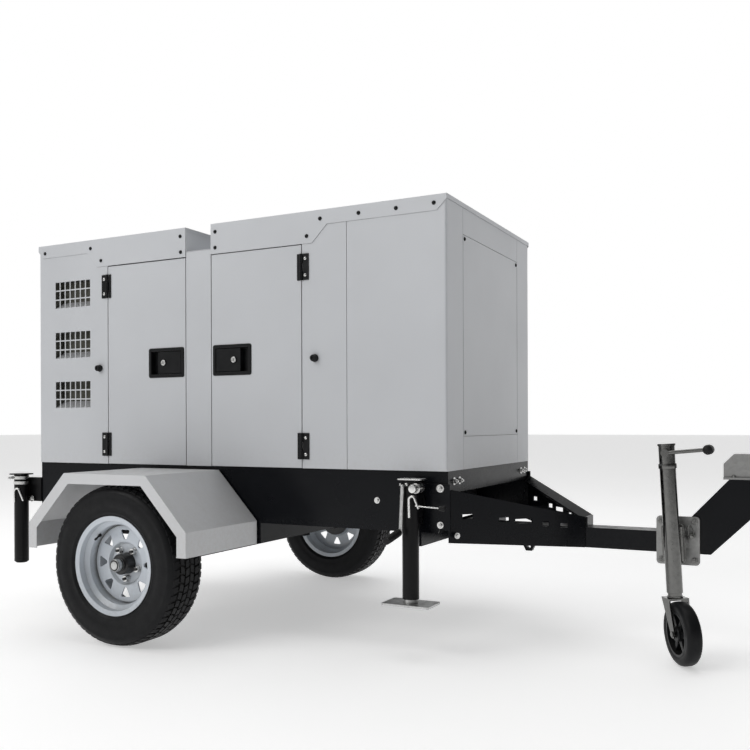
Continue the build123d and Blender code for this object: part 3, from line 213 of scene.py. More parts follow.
def zinc(name, colour, rough, spangle=0.5, dull=0.3, scale=130.0, metal=1.0):
    """Zinc-plated or galvanised steel: crystal spangle, dull patches, a faint white bloom and painted shade in
    crevices.
    """
    g = Graph(name)
    cell = g.cells(scale)
    crystal = g.add("ShaderNodeSeparateColor")
    g.link(cell, "Color", crystal, "Color")
    shade = g.ramp(crystal.outputs["Red"], 0.0, 1.0, 0.5 - 0.5 * spangle, 0.5 + 0.5 * spangle)
    bright = tuple(min(1.0, c * 1.16) for c in colour)
    base = g.blend(shade, tuple(c * 0.80 for c in colour), bright)
    bloom = g.ramp(g.noise(26.0, 6.0, 0.7), 0.50, 0.74)
    base = g.blend(g.math("MULTIPLY", bloom, dull, True), base, tuple(c * 0.62 + 0.16 for c in colour))
    # Ambient occlusion in crevices blends toward near-black brown: painted shade in corners and between parts.
    crevice_mask = g.ramp(g.crevice(0.015), 0.80, 0.25)
    base = g.blend(g.math("MULTIPLY", crevice_mask, 0.55, True), base, (0.06, 0.055, 0.05))
    _, soft = g.edges(0.0009)
    roughness = g.math("ADD", g.ramp(g.noise(70.0, 4.0), 0.3, 0.7, rough - 0.07, rough + 0.10),
                       g.math("MULTIPLY", bloom, 0.15), True)
    g.shader.inputs["Metallic"].default_value = metal
    normal = g.bump(g.noise(240.0, 3.0), 0.16, 0.0004, soft)
    return g.set(Base_Color=base, Roughness=roughness, Normal=normal)


def plastic(name, colour, rough, grain=900.0, depth=0.22, dust=0.25):
    """Moulded black plastic or rubber with a fine spark-eroded grain and a grey haze of dust."""
    g = Graph(name)
    haze = g.ramp(g.noise(20.0, 6.0, 0.7), 0.38, 0.75)
    base = g.blend(g.math("MULTIPLY", haze, dust, True), colour, tuple(c * 0.6 + 0.045 for c in colour))
    _, soft = g.edges(0.0008)
    up = g.math("MULTIPLY", g.ramp(g.facing_up(), 0.4, 1.0), dust, True)
    base = g.blend(up, base, (0.10, 0.097, 0.09))
    g.shader.inputs["Specular IOR Level"].default_value = 0.25
    grains = g.cells(grain)
    pitted = g.ramp(grains.outputs["Distance"], 0.0, 0.6)
    normal = g.bump(pitted, depth, 0.00025, soft)
    roughness = g.ramp(g.noise(45.0, 4.0), 0.3, 0.7, rough - 0.06, rough + 0.08)
    return g.set(Base_Color=base, Roughness=roughness, Normal=normal)


def tyre_rubber(name, centre, radius_in, radius_out):
    """Tyre rubber: dusty tread, faint mould rings on the sidewall and brownish soiling in its crevices."""
    g = Graph(name)
    haze = g.ramp(g.noise(14.0, 7.0, 0.75), 0.35, 0.75)
    base = g.blend(g.math("MULTIPLY", haze, 0.5, True), (0.0052, 0.0056, 0.0068), (0.012, 0.012, 0.0125))
    spots = g.ramp(g.noise(90.0, 4.0, 0.7), 0.55, 0.78)
    base = g.blend(g.math("MULTIPLY", spots, 0.18, True), base, (0.035, 0.032, 0.028))
    crevice_mask = g.ramp(g.crevice(0.012), 0.75, 0.2)
    base = g.blend(g.math("MULTIPLY", crevice_mask, 0.4, True), base, (0.030, 0.026, 0.022))
    g.shader.inputs["Specular IOR Level"].default_value = 0.2
    split = g.add("ShaderNodeSeparateXYZ")
    g.link(g.coord, "Object", split, "Vector")
    dx = g.math("SUBTRACT", split.outputs["X"], centre.x)
    dz = g.math("SUBTRACT", split.outputs["Z"], centre.z)
    away = g.math("SQRT", g.math("ADD", g.math("MULTIPLY", dx, dx), g.math("MULTIPLY", dz, dz)))
    rings = g.math("SINE", g.math("MULTIPLY", away, 2 * math.pi / 0.0022))
    sidewall = g.math("MULTIPLY", g.ramp(away, radius_in, radius_in + 0.01),
                      g.ramp(away, radius_out, radius_out - 0.01))
    fine = g.bump(g.math("MULTIPLY", rings, sidewall), 0.10, 0.0003)
    normal = g.bump(g.noise(420.0, 3.0), 0.22, 0.0004, fine)
    roughness = g.ramp(g.noise(30.0, 4.0), 0.3, 0.7, 0.40, 0.58)
    return g.set(Base_Color=base, Roughness=roughness, Normal=normal)


def foam(name, colour):
    """Open-cell acoustic foam."""
    g = Graph(name)
    cell = g.cells(420.0)
    holes = g.ramp(cell.outputs["Distance"], 0.1, 0.55)
    base = g.blend(holes, tuple(c * 0.45 for c in colour), colour)
    base = g.blend(g.math("MULTIPLY", g.ramp(g.noise(9.0, 5.0), 0.35, 0.7), 0.4, True), base,
                   tuple(c * 0.6 for c in colour))
    normal = g.bump(holes, 0.6, 0.0012)
    return g.set(Base_Color=base, Roughness=0.95, Normal=normal)


def machine_paint(name, colour, rough=0.38):
    """Engine enamel over rough castings, with painted shade in its corners."""
    g = Graph(name)
    base = g.blend(g.ramp(g.noise(12.0, 5.0), 0.3, 0.7), tuple(c * 0.8 for c in colour), colour)
    # Ambient occlusion, broken by noise, blends the corners toward a quarter of the colour: painted shade.
    corner_shade = g.math("MULTIPLY", g.ramp(g.crevice(0.05), 0.8, 0.3), g.ramp(g.noise(16.0, 5.0, 0.7), 0.35, 0.6),
                  True)
    base = g.blend(corner_shade, base, tuple(c * 0.25 for c in colour))
    _, soft = g.edges(0.004)
    normal = g.bump(g.noise(160.0, 4.0, 0.65), 0.4, 0.0009, soft)
    return g.set(Base_Color=base, Roughness=g.ramp(g.noise(30.0), 0.3, 0.7, rough, rough + 0.18),
                 Normal=normal)


DUST = (0.44, 0.40, 0.34)
CANOPY = paint("canopy_enamel", (0.645, 0.662, 0.690), 0.34, DUST, crevice_shade_and_soil=0.55, wear=0.10, coat=0.12,
               low=0.66,
               high=0.80, splashed=0.20)
GUARD = paint("guard_enamel", (0.690, 0.700, 0.715), 0.36, DUST, crevice_shade_and_soil=0.6, wear=0.30, coat=0.12, low=0.34,
              high=0.62, splashed=0.3)
BLACK = paint("chassis_black", (0.0035, 0.0042, 0.0060), 0.24, (0.055, 0.052, 0.048), crevice_shade_and_soil=0.3, wear=0.30,
              worn=(0.10, 0.10, 0.10), peel=0.14, low=0.34, high=0.50, settle=0.30, splashed=0.15,
              specular=0.16)
JACK_BLACK = paint("jack_black", (0.0035, 0.0035, 0.004), 0.32, (0.06, 0.056, 0.05), crevice_shade_and_soil=0.3, wear=0.5,
                   worn=(0.20, 0.195, 0.19), peel=0.2, low=0.18, high=0.30, splashed=0.2, specular=0.2)
RIM = paint("rim_enamel", (0.62, 0.665, 0.72), 0.30, (0.30, 0.27, 0.22), crevice_shade_and_soil=0.95, edge=0.0016, wear=0.2,
            coat=0.3,
            low=0.10, high=0.36, splashed=0.3)
HUB = paint("hub_black", (0.009, 0.009, 0.010), 0.30, (0.10, 0.09, 0.08), crevice_shade_and_soil=0.5, wear=0.5, edge=0.002)
ZINC = zinc("galvanised_steel", (0.60, 0.605, 0.60), 0.36)
BRIGHT = zinc("plated_fastener", (0.78, 0.78, 0.77), 0.24, spangle=0.15, dull=0.18, scale=300.0)
GALV = zinc("jockey_galvanised", (0.17, 0.17, 0.165), 0.16, spangle=0.05, dull=0.06, scale=170.0)
CAST_ZINC = zinc("bracket_galvanised", (0.33, 0.33, 0.325), 0.38, spangle=0.35, dull=0.3, scale=90.0)
PLASTIC = plastic("moulded_black", (0.0045, 0.005, 0.006), 0.34, dust=0.12)
RUBBER = plastic("stop_rubber", (0.006, 0.006, 0.0065), 0.50, grain=600.0, depth=0.3, dust=0.2)
RED = plastic("signal_red", (0.52, 0.012, 0.008), 0.26, grain=1500.0, depth=0.05, dust=0.08)
FOAM = foam("acoustic_foam", (0.060, 0.060, 0.056))
GRILLE_FOAM = foam("grille_foam", (0.115, 0.115, 0.095))
TINTED = plastic("tinted_pane", (0.018, 0.021, 0.024), 0.07, grain=300.0, depth=0.01, dust=0.10)
ENGINE = machine_paint("engine_enamel", (0.035, 0.085, 0.14))
ALLOY = machine_paint("cast_alloy", (0.40, 0.40, 0.39), 0.42)
EXHAUST = zinc("heat_dulled_steel", (0.40, 0.36, 0.31), 0.45, spangle=0.25, dull=0.5, scale=60.0)
TANK = paint("tank_black", (0.02, 0.02, 0.022), 0.4, (0.18, 0.17, 0.15))

wheel_low, wheel_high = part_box("tyre_right")
WHEEL_CENTRE = (wheel_low + wheel_high) / 2
TYRE = tyre_rubber("tyre_rubber", WHEEL_CENTRE, 0.205, 0.292)

LOOKS = {
    "canopy_paint": CANOPY, "guard_paint": GUARD, "base_black": BLACK, "jack_black": JACK_BLACK,
    "rim_paint": RIM,
    "hub_black": HUB, "zinc_plate": ZINC, "black_plastic": PLASTIC, "stop_red": RED, "engine_paint": ENGINE,
    "cast_alloy": ALLOY, "exhaust_steel": EXHAUST, "jockey_tyre": RUBBER, "tyre": TYRE, "tank_steel": TANK,
}
GALVANISED = ("jockey_tube", "jockey_leg", "jockey_fork", "jockey_crank")
slot_of = {part["node"]: part["material_slot"] for part in frame["record"]["subparts"]}
for node_name, node in nodes.items():
    node.data.materials.clear()
    look = LOOKS[slot_of[node_name]]
    if node_name in GALVANISED:
        look = GALV
    elif node_name in ("jockey_bracket", "coupling_body"):
        look = CAST_ZINC
    node.data.materials.append(look)


# ---- mesh building ----------------------------------------------------------------------
class Shape:
    """Gathers mesh in millimetres from the ground under the axle; right side first, left by mirroring."""

    def __init__(self):
        self.bm = bmesh.new()

    def _merge(self, other):
        mesh = bpy.data.meshes.new("scratch")
        other.to_mesh(mesh)
        other.free()
        self.bm.from_mesh(mesh)
        bpy.data.meshes.remove(mesh)
        return self

    def block(self, x0, x1, y0, y1, z0, z1, bevel=0.0, segments=2):
        part = bmesh.new()
        bmesh.ops.create_cube(part, size=1.0)
        size = Vector((abs(x1 - x0), abs(y1 - y0), abs(z1 - z0)))
        middle = Vector(((x0 + x1) / 2, (y0 + y1) / 2, (z0 + z1) / 2))
        for v in part.verts:
            v.co = Vector((v.co.x * size.x, v.co.y * size.y, v.co.z * size.z)) + middle
        if bevel:
            bmesh.ops.bevel(part, geom=part.edges[:], offset=bevel, segments=segments, profile=0.6,
                            affect="EDGES")
        return self._merge(part)

    def rod(self, start, end, radius, end_radius=None, sides=28, bevel=0.0):
        start, end = Vector(start), Vector(end)
        run = end - start
        part = bmesh.new()
        bmesh.ops.create_cone(part, cap_ends=True, segments=sides, radius1=radius,
                              radius2=radius if end_radius is None else end_radius, depth=run.length)
        if bevel:
            rims = [e for e in part.edges if len(e.link_faces) == 2
                    and any(len(f.verts) > 4 for f in e.link_faces)]
            bmesh.ops.bevel(part, geom=rims, offset=bevel, segments=3, profile=0.6, affect="EDGES")
        turn = run.to_track_quat("Z", "Y").to_matrix().to_4x4()
        bmesh.ops.transform(part, matrix=Matrix.Translation((start + end) / 2) @ turn, verts=part.verts)
        return self._merge(part)

    def nut(self, at, direction, across, height, washer=True, stud=0.0, turn=0.0):
        """A chamfered hexagon head or nut, on a washer, with a stud end standing out of it."""
        at, direction = Vector(at), Vector(direction).normalized()
        part = bmesh.new()
        lift = 0.0
        if washer:
            bmesh.ops.create_cone(part, cap_ends=True, segments=32, radius1=across * 0.92,
                                  radius2=across * 0.92,
                                  depth=height * 0.22, matrix=Matrix.Translation((0, 0, height * 0.11)))
            lift = height * 0.22
        corner = across / math.cos(math.pi / 6) / 2
        levels = [(0, 0.93), (0.12, 1.0), (0.80, 1.0), (1.0, 0.86)]
        rings = []
        for level, share in levels:
            ring = []
            for k in range(24):
                angle = 2 * math.pi * k / 24
                flat = math.cos(math.pi / 6) / math.cos((angle % (math.pi / 3)) - math.pi / 6)
                reach = corner * flat if share >= 1 else corner * min(flat, share)
                ring.append(part.verts.new((reach * math.cos(angle + turn), reach * math.sin(angle + turn),
                                            lift + height * level)))
            rings.append(ring)
        for a, b in zip(rings, rings[1:]):
            for k in range(24):
                part.faces.new((a[k], a[(k + 1) % 24], b[(k + 1) % 24], b[k]))
        part.faces.new(rings[-1])
        part.faces.new(rings[0][::-1])
        if stud:
            depth = stud
            bmesh.ops.create_cone(part, cap_ends=True, segments=20, radius1=across * 0.29,
                                  radius2=across * 0.25,
                                  depth=depth, matrix=Matrix.Translation((0, 0, lift + height + depth / 2)))
        turning = direction.to_track_quat("Z", "Y").to_matrix().to_4x4()
        bmesh.ops.transform(part, matrix=Matrix.Translation(at) @ turning, verts=part.verts)
        return self._merge(part)

    def dome(self, at, direction, radius, height, socket=True):
        """A button-head screw: a shallow dome with a hexagon socket."""
        at, direction = Vector(at), Vector(direction).normalized()
        profile = [(radius, 0.0), (radius, height * 0.25), (radius * 0.9, height * 0.62),
                   (radius * 0.62, height * 0.93),
                   (radius * 0.42, height)]
        if socket:
            profile += [(radius * 0.40, height * 0.45), (0.0, height * 0.45)]
        else:
            profile += [(0.0, height)]
        part = bmesh.new()
        rings = []
        for r, up in profile:
            if r == 0:
                rings.append([part.verts.new((0, 0, up))])
                continue
            rings.append([part.verts.new((r * math.cos(2 * math.pi * k / 24),
                                          r * math.sin(2 * math.pi * k / 24), up))
                          for k in range(24)])
        for a, b in zip(rings, rings[1:]):
            for k in range(24):
                if len(b) == 1:
                    part.faces.new((a[k], a[(k + 1) % 24], b[0]))
                else:
                    part.faces.new((a[k], a[(k + 1) % 24], b[(k + 1) % 24], b[k]))
        part.faces.new(rings[0][::-1])
        turning = direction.to_track_quat("Z", "Y").to_matrix().to_4x4()
        bmesh.ops.transform(part, matrix=Matrix.Translation(at) @ turning, verts=part.verts)
        return self._merge(part)

    def spin(self, profile, centre, axis=(0, 1, 0), sides=96, closed=True):
        """A (radius, offset) profile spun about an axis through the centre."""
        axis = Vector(axis).normalized()
        side = axis.orthogonal().normalized()
        other = axis.cross(side)
        centre = Vector(centre)
        part = bmesh.new()
        rings = []
        for k in range(sides):
            angle = 2 * math.pi * k / sides
            out = side * math.cos(angle) + other * math.sin(angle)
            rings.append([part.verts.new(centre + out * r + axis * offset) for r, offset in profile])
        count = len(profile)
        for k in range(sides):
            a, b = rings[k], rings[(k + 1) % sides]
            for i in range(count if closed else count - 1):
                j = (i + 1) % count
                part.faces.new((a[i], a[j], b[j], b[i]))
        bmesh.ops.recalc_face_normals(part, faces=part.faces)
        return self._merge(part)

    def wire(self, points, radius, sides=12, corner=10.0, steps=5):
        """A round wire or rod bent round its corners."""
        points = [Vector(p) for p in points]
        path = [points[0]]
        for before, at, after in zip(points, points[1:], points[2:]):
            a = (before - at).normalized()
            b = (after - at).normalized()
            reach = min(corner, (before - at).length * 0.45, (after - at).length * 0.45)
            start, end = at + a * reach, at + b * reach
            for step in range(steps + 1):
                t = step / steps
                path.append(start * (1 - t) ** 2 + at * 2 * t * (1 - t) + end * t ** 2)
        path.append(points[-1])
        part = bmesh.new()
        rings = []
        side = (path[1] - path[0]).orthogonal().normalized()
        for index, p in enumerate(path):
            ahead = path[min(index + 1, len(path) - 1)] - path[max(index - 1, 0)]
            ahead.normalize()
            side = (side - ahead * side.dot(ahead)).normalized()
            other = ahead.cross(side)
            ring = []
            for k in range(sides):
                angle = 2 * math.pi * k / sides
                ring.append(part.verts.new(p + (side * math.cos(angle) + other * math.sin(angle)) * radius))
            rings.append(ring)
        for a, b in zip(rings, rings[1:]):
            for k in range(sides):
                part.faces.new((a[k], a[(k + 1) % sides], b[(k + 1) % sides], b[k]))
        part.faces.new(rings[0][::-1])
        part.faces.new(rings[-1])
        bmesh.ops.recalc_face_normals(part, faces=part.faces)
        return self._merge(part)

    def extrude(self, outline, push, bevel=0.0):
        """A closed outline of 3-D points pushed along a vector."""
        part = bmesh.new()
        push = Vector(push)
        first = [part.verts.new(Vector(p)) for p in outline]
        second = [part.verts.new(Vector(p) + push) for p in outline]
        part.faces.new(first[::-1])
        part.faces.new(second)
        count = len(outline)
        for i in range(count):
            j = (i + 1) % count
            part.faces.new((first[i], first[j], second[j], second[i]))
        bmesh.ops.recalc_face_normals(part, faces=part.faces)
        if bevel:
            bmesh.ops.bevel(part, geom=part.edges[:], offset=bevel, segments=2, profile=0.6, affect="EDGES")
        return self._merge(part)


JACK_X, JACK_Y, JACK_PIVOT_Z = 1108.0, -560.0, 572.0      # the swivel of a front corner jack


def make(name, shape, material, body, mirrored=False, sharp=35.0, stands_for=(), stowed=False):
    """Turns a gathered shape into a piece that rides on a body. stowed swings it up like the left jack."""
    bm = shape.bm
    for v in bm.verts:
        x, y, z = v.co
        if mirrored:
            y = -y
        if stowed:
            x, z = JACK_X + (z - JACK_PIVOT_Z), JACK_PIVOT_Z - (x - JACK_X)
        v.co = place(x, y, z)
    if mirrored:
        bmesh.ops.reverse_faces(bm, faces=bm.faces)
    mesh = bpy.data.meshes.new(name)
    bm.to_mesh(mesh)
    bm.free()
    mesh.polygons.foreach_set("use_smooth", [True] * len(mesh.polygons))
    mesh.set_sharp_from_angle(angle=math.radians(sharp))
    piece = bpy.data.objects.new(name, mesh)
    bpy.context.scene.collection.objects.link(piece)
    mesh.materials.append(material)
    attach(piece, body)
    if stands_for:
        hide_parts(*stands_for)
    return piece


def both_sides(name, build, material, body, stands_for=(), jack=False):
    """The same piece on the right and, mirrored, on the left. {side} in the texts is filled in."""
    for side in ("right", "left"):
        left = side == "left"
        make(name.format(side=side), build(), material, body.format(side=side), left,
             stands_for=[n.format(side=side) for n in stands_for], stowed=left and jack)


# ---- the sizes that the pieces share ------------------------------------------------------
CANOPY_SIDE = -500.0
SKIRT = -503.0
HINGES = {"rear": (-424.0, 1), "front": (605.0, -1)}      # hinge line, way to the free edge
HINGE_HEIGHTS = (775.0, 1489.0)
LOCKS = {"rear": (-86.0, 1), "front": (264.0, -1)}
LOCK_HEIGHT = 1132.0
WHEEL_Y, WHEEL_Z = -838.0, 315.0
CANOPY_FRONT, CANOPY_REAR = 1228.0, -856.0
BASE_SIDE = -490.0
ARM_FACE = -498.0                      # outer face of the drawbar arm's root plate
JACK_R = 31.0
CRANK_X, CRANK_Z = JACK_X - 14, 636.0
PROP_X, PROP_Y = -960.0, -520.0
BRACKET_FACE = -62.0                   # outer face of the jockey wheel's clamp plate
WINDOW_HALF, WINDOW_LOW, WINDOW_HIGH = 157.0, 1303.0, 1547.0


# ---- canopy details -----------------------------------------------------------------------
def hinge_screws():
    """The two screws of each fixed hinge leaf."""
    s = Shape()
    for x, toward in HINGES.values():
        for z in HINGE_HEIGHTS:
            for dz in (-33, 33):
                s.dome((x - toward * 19, CANOPY_SIDE - 4, z + dz), (0, -1, 0), 7.0, 4.2)
    return s


both_sides("hinge_screws_{side}", hinge_screws, BRIGHT, "trailer")

SKIRT_SCREWS = ((-816, 1672), (-527, 1670), (-463, 1609), (-6, 1673), (-4, 1605), (180, 1674), (180, 1607),
                (631, 1610), (693, 1673), (865, 1676), (1025, 1676), (1180, 1678))


def skirt_screws():
    """The roof skirt's screws along the side, and those of the front cover."""
    s = Shape()
    for x, z in SKIRT_SCREWS:
        s.dome((x, SKIRT, z), (0, -1, 0), 8.0, 4.4)
    for z in (829, 1574):
        s.dome((CANOPY_FRONT, -316, z), (1, 0, 0), 8.0, 4.4)
    return s


both_sides("skirt_screws_{side}", skirt_screws, PLASTIC, "trailer", ("screws_and_stops",))


def door_stops():
    """The round rubber stops that an opened door rests on."""
    s = Shape()
    for x, z in ((-473, 1120), (667, 1124)):
        profile = [(9, 0), (15, 0), (16, -3), (14.5, -8), (14, -17), (12.5, -21), (9, -22.5), (6.5, -22),
                   (5, -18), (0.5, -17.5)]
        s.spin(profile + [(0.5, 0)], (x, CANOPY_SIDE, z), sides=40)
    return s


both_sides("door_stops_{side}", door_stops, RUBBER, "trailer")


def grille_lining():
    """The foam behind each block of side vents, with its two side cheeks."""
    s = Shape()
    for z in (943.0, 1174.0, 1409.0):
        x0, x1 = -762.0, -523.0
        s.block(x0, x1, -444, -438.4, z + 26, z + 127, 1.5)
        s.block(x0, x0 + 5, -496, -444, z + 2, z + 127, 1.0)
        s.block(x1 - 5, x1, -496, -444, z + 2, z + 127, 1.0)
    return s


both_sides("grille_lining_{side}", grille_lining, GRILLE_FOAM, "trailer")


def waffle(s, x0, x1, z0, z1, y, thick, pitch=52.0):
    """A foam pad with rounded pillows, facing away from the skin at y."""
    columns = max(2, int((x1 - x0) / pitch) * 4)
    rows = max(2, int((z1 - z0) / pitch) * 4)
    part = bmesh.new()
    grid = []
    for i in range(columns + 1):
        line = []
        for j in range(rows + 1):
            edge = i in (0, columns) or j in (0, rows)
            swell = 0.0 if edge else 0.5 + 0.5 * abs(math.sin(math.pi * i / 4)) * abs(math.sin(math.pi * j / 4))
            depth = thick * (0.15 if edge else 0.45 + 0.55 * swell)
            line.append(part.verts.new((x0 + (x1 - x0) * i / columns, y + depth,
                                        z0 + (z1 - z0) * j / rows)))
        grid.append(line)
    for i in range(columns):
        for j in range(rows):
            part.faces.new((grid[i][j], grid[i + 1][j], grid[i + 1][j + 1], grid[i][j + 1]))
    bmesh.ops.recalc_face_normals(part, faces=part.faces)
    ring = bmesh.ops.extrude_edge_only(part, edges=[e for e in part.edges if e.is_boundary])
    for v in (g for g in ring["geom"] if isinstance(g, bmesh.types.BMVert)):
        v.co.y = y
    bmesh.ops.contextual_create(part, geom=[e for e in part.edges if e.is_boundary])
    bmesh.ops.recalc_face_normals(part, faces=part.faces)
    return s._merge(part)


def door_foam(which):
    """The acoustic pads on the inside of a side door."""
    x0, x1 = {"rear": (-420, 17), "front": (161, 601)}[which]
    lock, _ = LOCKS[which]
    s = Shape()
    y = CANOPY_SIDE + 2.2
    waffle(s, x0 + 14, x1 - 14, 700, LOCK_HEIGHT - 66, y, 20)
    waffle(s, x0 + 14, x1 - 14, LOCK_HEIGHT + 66, 1564, y, 20)
    side_x = (x0 + 14, lock - 96) if which == "rear" else (lock + 96, x1 - 14)
    waffle(s, side_x[0], side_x[1], LOCK_HEIGHT - 62, LOCK_HEIGHT + 62, y, 20)
    return s


for which in HINGES:
    both_sides(f"door_foam_{which}_{{side}}", lambda: door_foam(which), FOAM, f"door_{which}_{{side}}")


# ---- locks ----------------------------------------------------------------------------------
def key_cylinder(which):
    x, toward = LOCKS[which]
    key_x = x - toward * 12
    s = Shape()
    profile = [(0.4, 0), (12.4, 0), (12.4, -1.6), (11.2, -2.6), (9.0, -2.6), (8.4, -1.6), (2.2, -1.6),
               (0.4, -1.6)]
    s.spin(profile, (key_x, CANOPY_SIDE - 7, LOCK_HEIGHT), sides=40)
    return s


def keyway_shade(which):
    """A raised black bar on the key cylinder: painted shade standing for the key slot's opening."""
    x, toward = LOCKS[which]
    key_x = x - toward * 12
    s = Shape()
    s.block(key_x - 1.1, key_x + 1.1, CANOPY_SIDE - 9.2, CANOPY_SIDE - 8.0, LOCK_HEIGHT - 6,
            LOCK_HEIGHT + 6, 0.4)
    return s


def dish_ribs(which):
    """Raised beads along the dish's lower and upper lips."""
    x, _ = LOCKS[which]
    s = Shape()
    s.block(x - 80, x + 80, CANOPY_SIDE - 4.6, CANOPY_SIDE + 1.0, LOCK_HEIGHT - 53.0, LOCK_HEIGHT - 50.2,
            0.9)
    s.block(x - 80, x + 80, CANOPY_SIDE - 4.6, CANOPY_SIDE + 1.0, LOCK_HEIGHT + 50.2, LOCK_HEIGHT + 53.0,
            0.9)
    return s


for which in LOCKS:
    both_sides(f"key_cylinder_{which}_{{side}}", lambda: key_cylinder(which), BRIGHT,
               f"paddle_{which}_{{side}}")
    both_sides(f"keyway_shade_{which}_{{side}}", lambda: keyway_shade(which), PLASTIC, f"paddle_{which}_{{side}}")
    both_sides(f"dish_ribs_{which}_{{side}}", lambda: dish_ribs(which), PLASTIC, f"door_{which}_{{side}}")


# ---- road wheels --------------------------------------------------------------------------
def tyre():
    """The carcass of a radial tyre: rim guard, sidewalls, shoulders and the base of the tread."""
    s = Shape()
    half = 94.5
    carcass = [(178.3, -75.5), (188, -78.0), (197, -80.5), (204, -86.5), (207, -88.6), (211, -89.3),
               (214, -88.4), (232, -93.2),
               (248, -half), (264, -94.2), (279, -92.0), (282, -92.6), (286, -91.2), (294, -87.5),
               (300, -82.5),
               (304.5, -76.5), (306.5, -70.0)]
    profile = carcass + [(307.0, 0.0)] + [(r, -y) for r, y in carcass[::-1]]
    profile += [(182, 66), (222, 84), (264, 84), (292, 74), (298, 60), (298, -60), (292, -74), (264, -84),
                (222, -84), (182, -66)]
    s.spin(profile, (0, WHEEL_Y, WHEEL_Z), sides=144)
    return s


def tread():
    """The tread: ribs and shoulder blocks as separate closed lugs on the carcass."""
    s = Shape()
    part = bmesh.new()
    lugs = 60
    rows = ((-80, -58, 0.72, 303.0, 313.2), (-52, -30, 0.80, 306.0, 314.7), (-24, -3, 0.86, 306.4, 315.0),
            (3, 24, 0.86, 306.4, 315.0), (30, 52, 0.80, 306.0, 314.7), (58, 80, 0.72, 303.0, 313.2))
    for row, (y0, y1, share, base, top) in enumerate(rows):
        shoulder = row in (0, 5)
        for k in range(lugs):
            phase = 0.5 * (row % 2)
            a0 = 2 * math.pi * (k + phase) / lugs
            a1 = a0 + 2 * math.pi * share / lugs
            slant = (0.22 if row % 2 else -0.22) * 2 * math.pi / lugs
            corners = []
            for radius_at in (base, top):
                for angle, y in ((a0, y0), (a1, y0), (a1 + slant, y1), (a0 + slant, y1)):
                    radius = radius_at
                    if radius_at == top and shoulder and (y == -80 or y == 80):
                        radius = top - 7.5
                    if radius_at == base and shoulder and (y == -80 or y == 80):
                        radius = base - 4
                    corners.append(part.verts.new((radius * math.sin(angle), WHEEL_Y + y,
                                                   WHEEL_Z + radius * math.cos(angle))))
            b, t = corners[:4], corners[4:]
            part.faces.new(t)
            part.faces.new(b[::-1])
            for i in range(4):
                j = (i + 1) % 4
                part.faces.new((b[i], b[j], t[j], t[i]))
    bmesh.ops.recalc_face_normals(part, faces=part.faces)
    tops = [e for e in part.edges if all((Vector((v.co.x, 0,
                                                  v.co.z - WHEEL_Z)).length > 304.5) for v in e.verts)
            and len(e.link_faces) == 2]
    bmesh.ops.bevel(part, geom=tops, offset=0.9, segments=1, affect="EDGES")
    return s._merge(part)


both_sides("tyre_carcass_{side}", tyre, TYRE, "wheel_{side}", ("tyre_{side}",))
both_sides("tyre_tread_{side}", tread, TYRE, "wheel_{side}")

HUB_FACE = WHEEL_Y + 2.0


def wheel_nuts():
    """The five wheel nuts, each on its conical seat."""
    s = Shape()
    for k in range(5):
        turn = math.radians(36 + 72 * k)
        x, z = 60.325 * math.sin(turn), WHEEL_Z + 60.325 * math.cos(turn)
        s.nut((x, HUB_FACE, z), (0, -1, 0), 22.8, 17.0, washer=False, turn=turn)
        s.rod((x, HUB_FACE, z), (x, HUB_FACE - 3.0, z), 14.5, 12.5)
    return s


def grease_cap():
    """The pressed cap over the wheel bearing."""
    s = Shape()
    y = HUB_FACE - 45
    profile = [(20, 0), (24.8, 0), (24.8, -3), (24.2, -4), (24.2, -9), (25.0, -10), (25.0, -24),
               (23.2, -28), (19.5, -29.8),
               (9, -30.4), (0.4, -30.4), (0.4, 0)]
    s.spin(profile, (0, y, WHEEL_Z), sides=56)
    return s


def valve():
    """The rubber tyre valve."""
    s = Shape()
    base = Vector((-109, WHEEL_Y - 34, WHEEL_Z + 109))       # where it comes through the rim
    way = Vector((0.32, -1.0, -0.32)).normalized()
    s.rod(base, base + way * 12, 7.5, 5.5, bevel=0.8)
    s.rod(base + way * 10, base + way * 34, 4.2, 3.6)
    s.rod(base + way * 32, base + way * 44, 4.8, 4.4, bevel=0.8)
    return s


both_sides("wheel_nuts_{side}", wheel_nuts, BRIGHT, "wheel_{side}")
both_sides("grease_cap_{side}", grease_cap, ZINC, "wheel_{side}")
both_sides("tyre_valve_{side}", valve, RUBBER, "wheel_{side}")


# ---- drawbar, jacks and jockey wheel ----------------------------------------------------------
def frame_bolts():
    """The bolts of the base, the drawbar arm and the front cross member."""
    s = Shape()
    s.nut((1200, ARM_FACE, 624), (0, -1, 0), 16.0, 9.0, stud=4.0)
    s.nut((1200, ARM_FACE, 489), (0, -1, 0), 14.0, 8.0, stud=4.0)
    s.nut((935, BASE_SIDE, 570), (0, -1, 0), 13.0, 7.0)
    s.nut((1262, -486.5, 452), (0.74, -0.67, 0), 12.0, 7.0)
    for y in (-433, -379):
        s.nut((CANOPY_FRONT, y, 648), (1, 0, 0), 16.0, 10.0, stud=6.0)
    return s


both_sides("frame_bolts_{side}", frame_bolts, BRIGHT, "trailer", ("frame_bolts",))


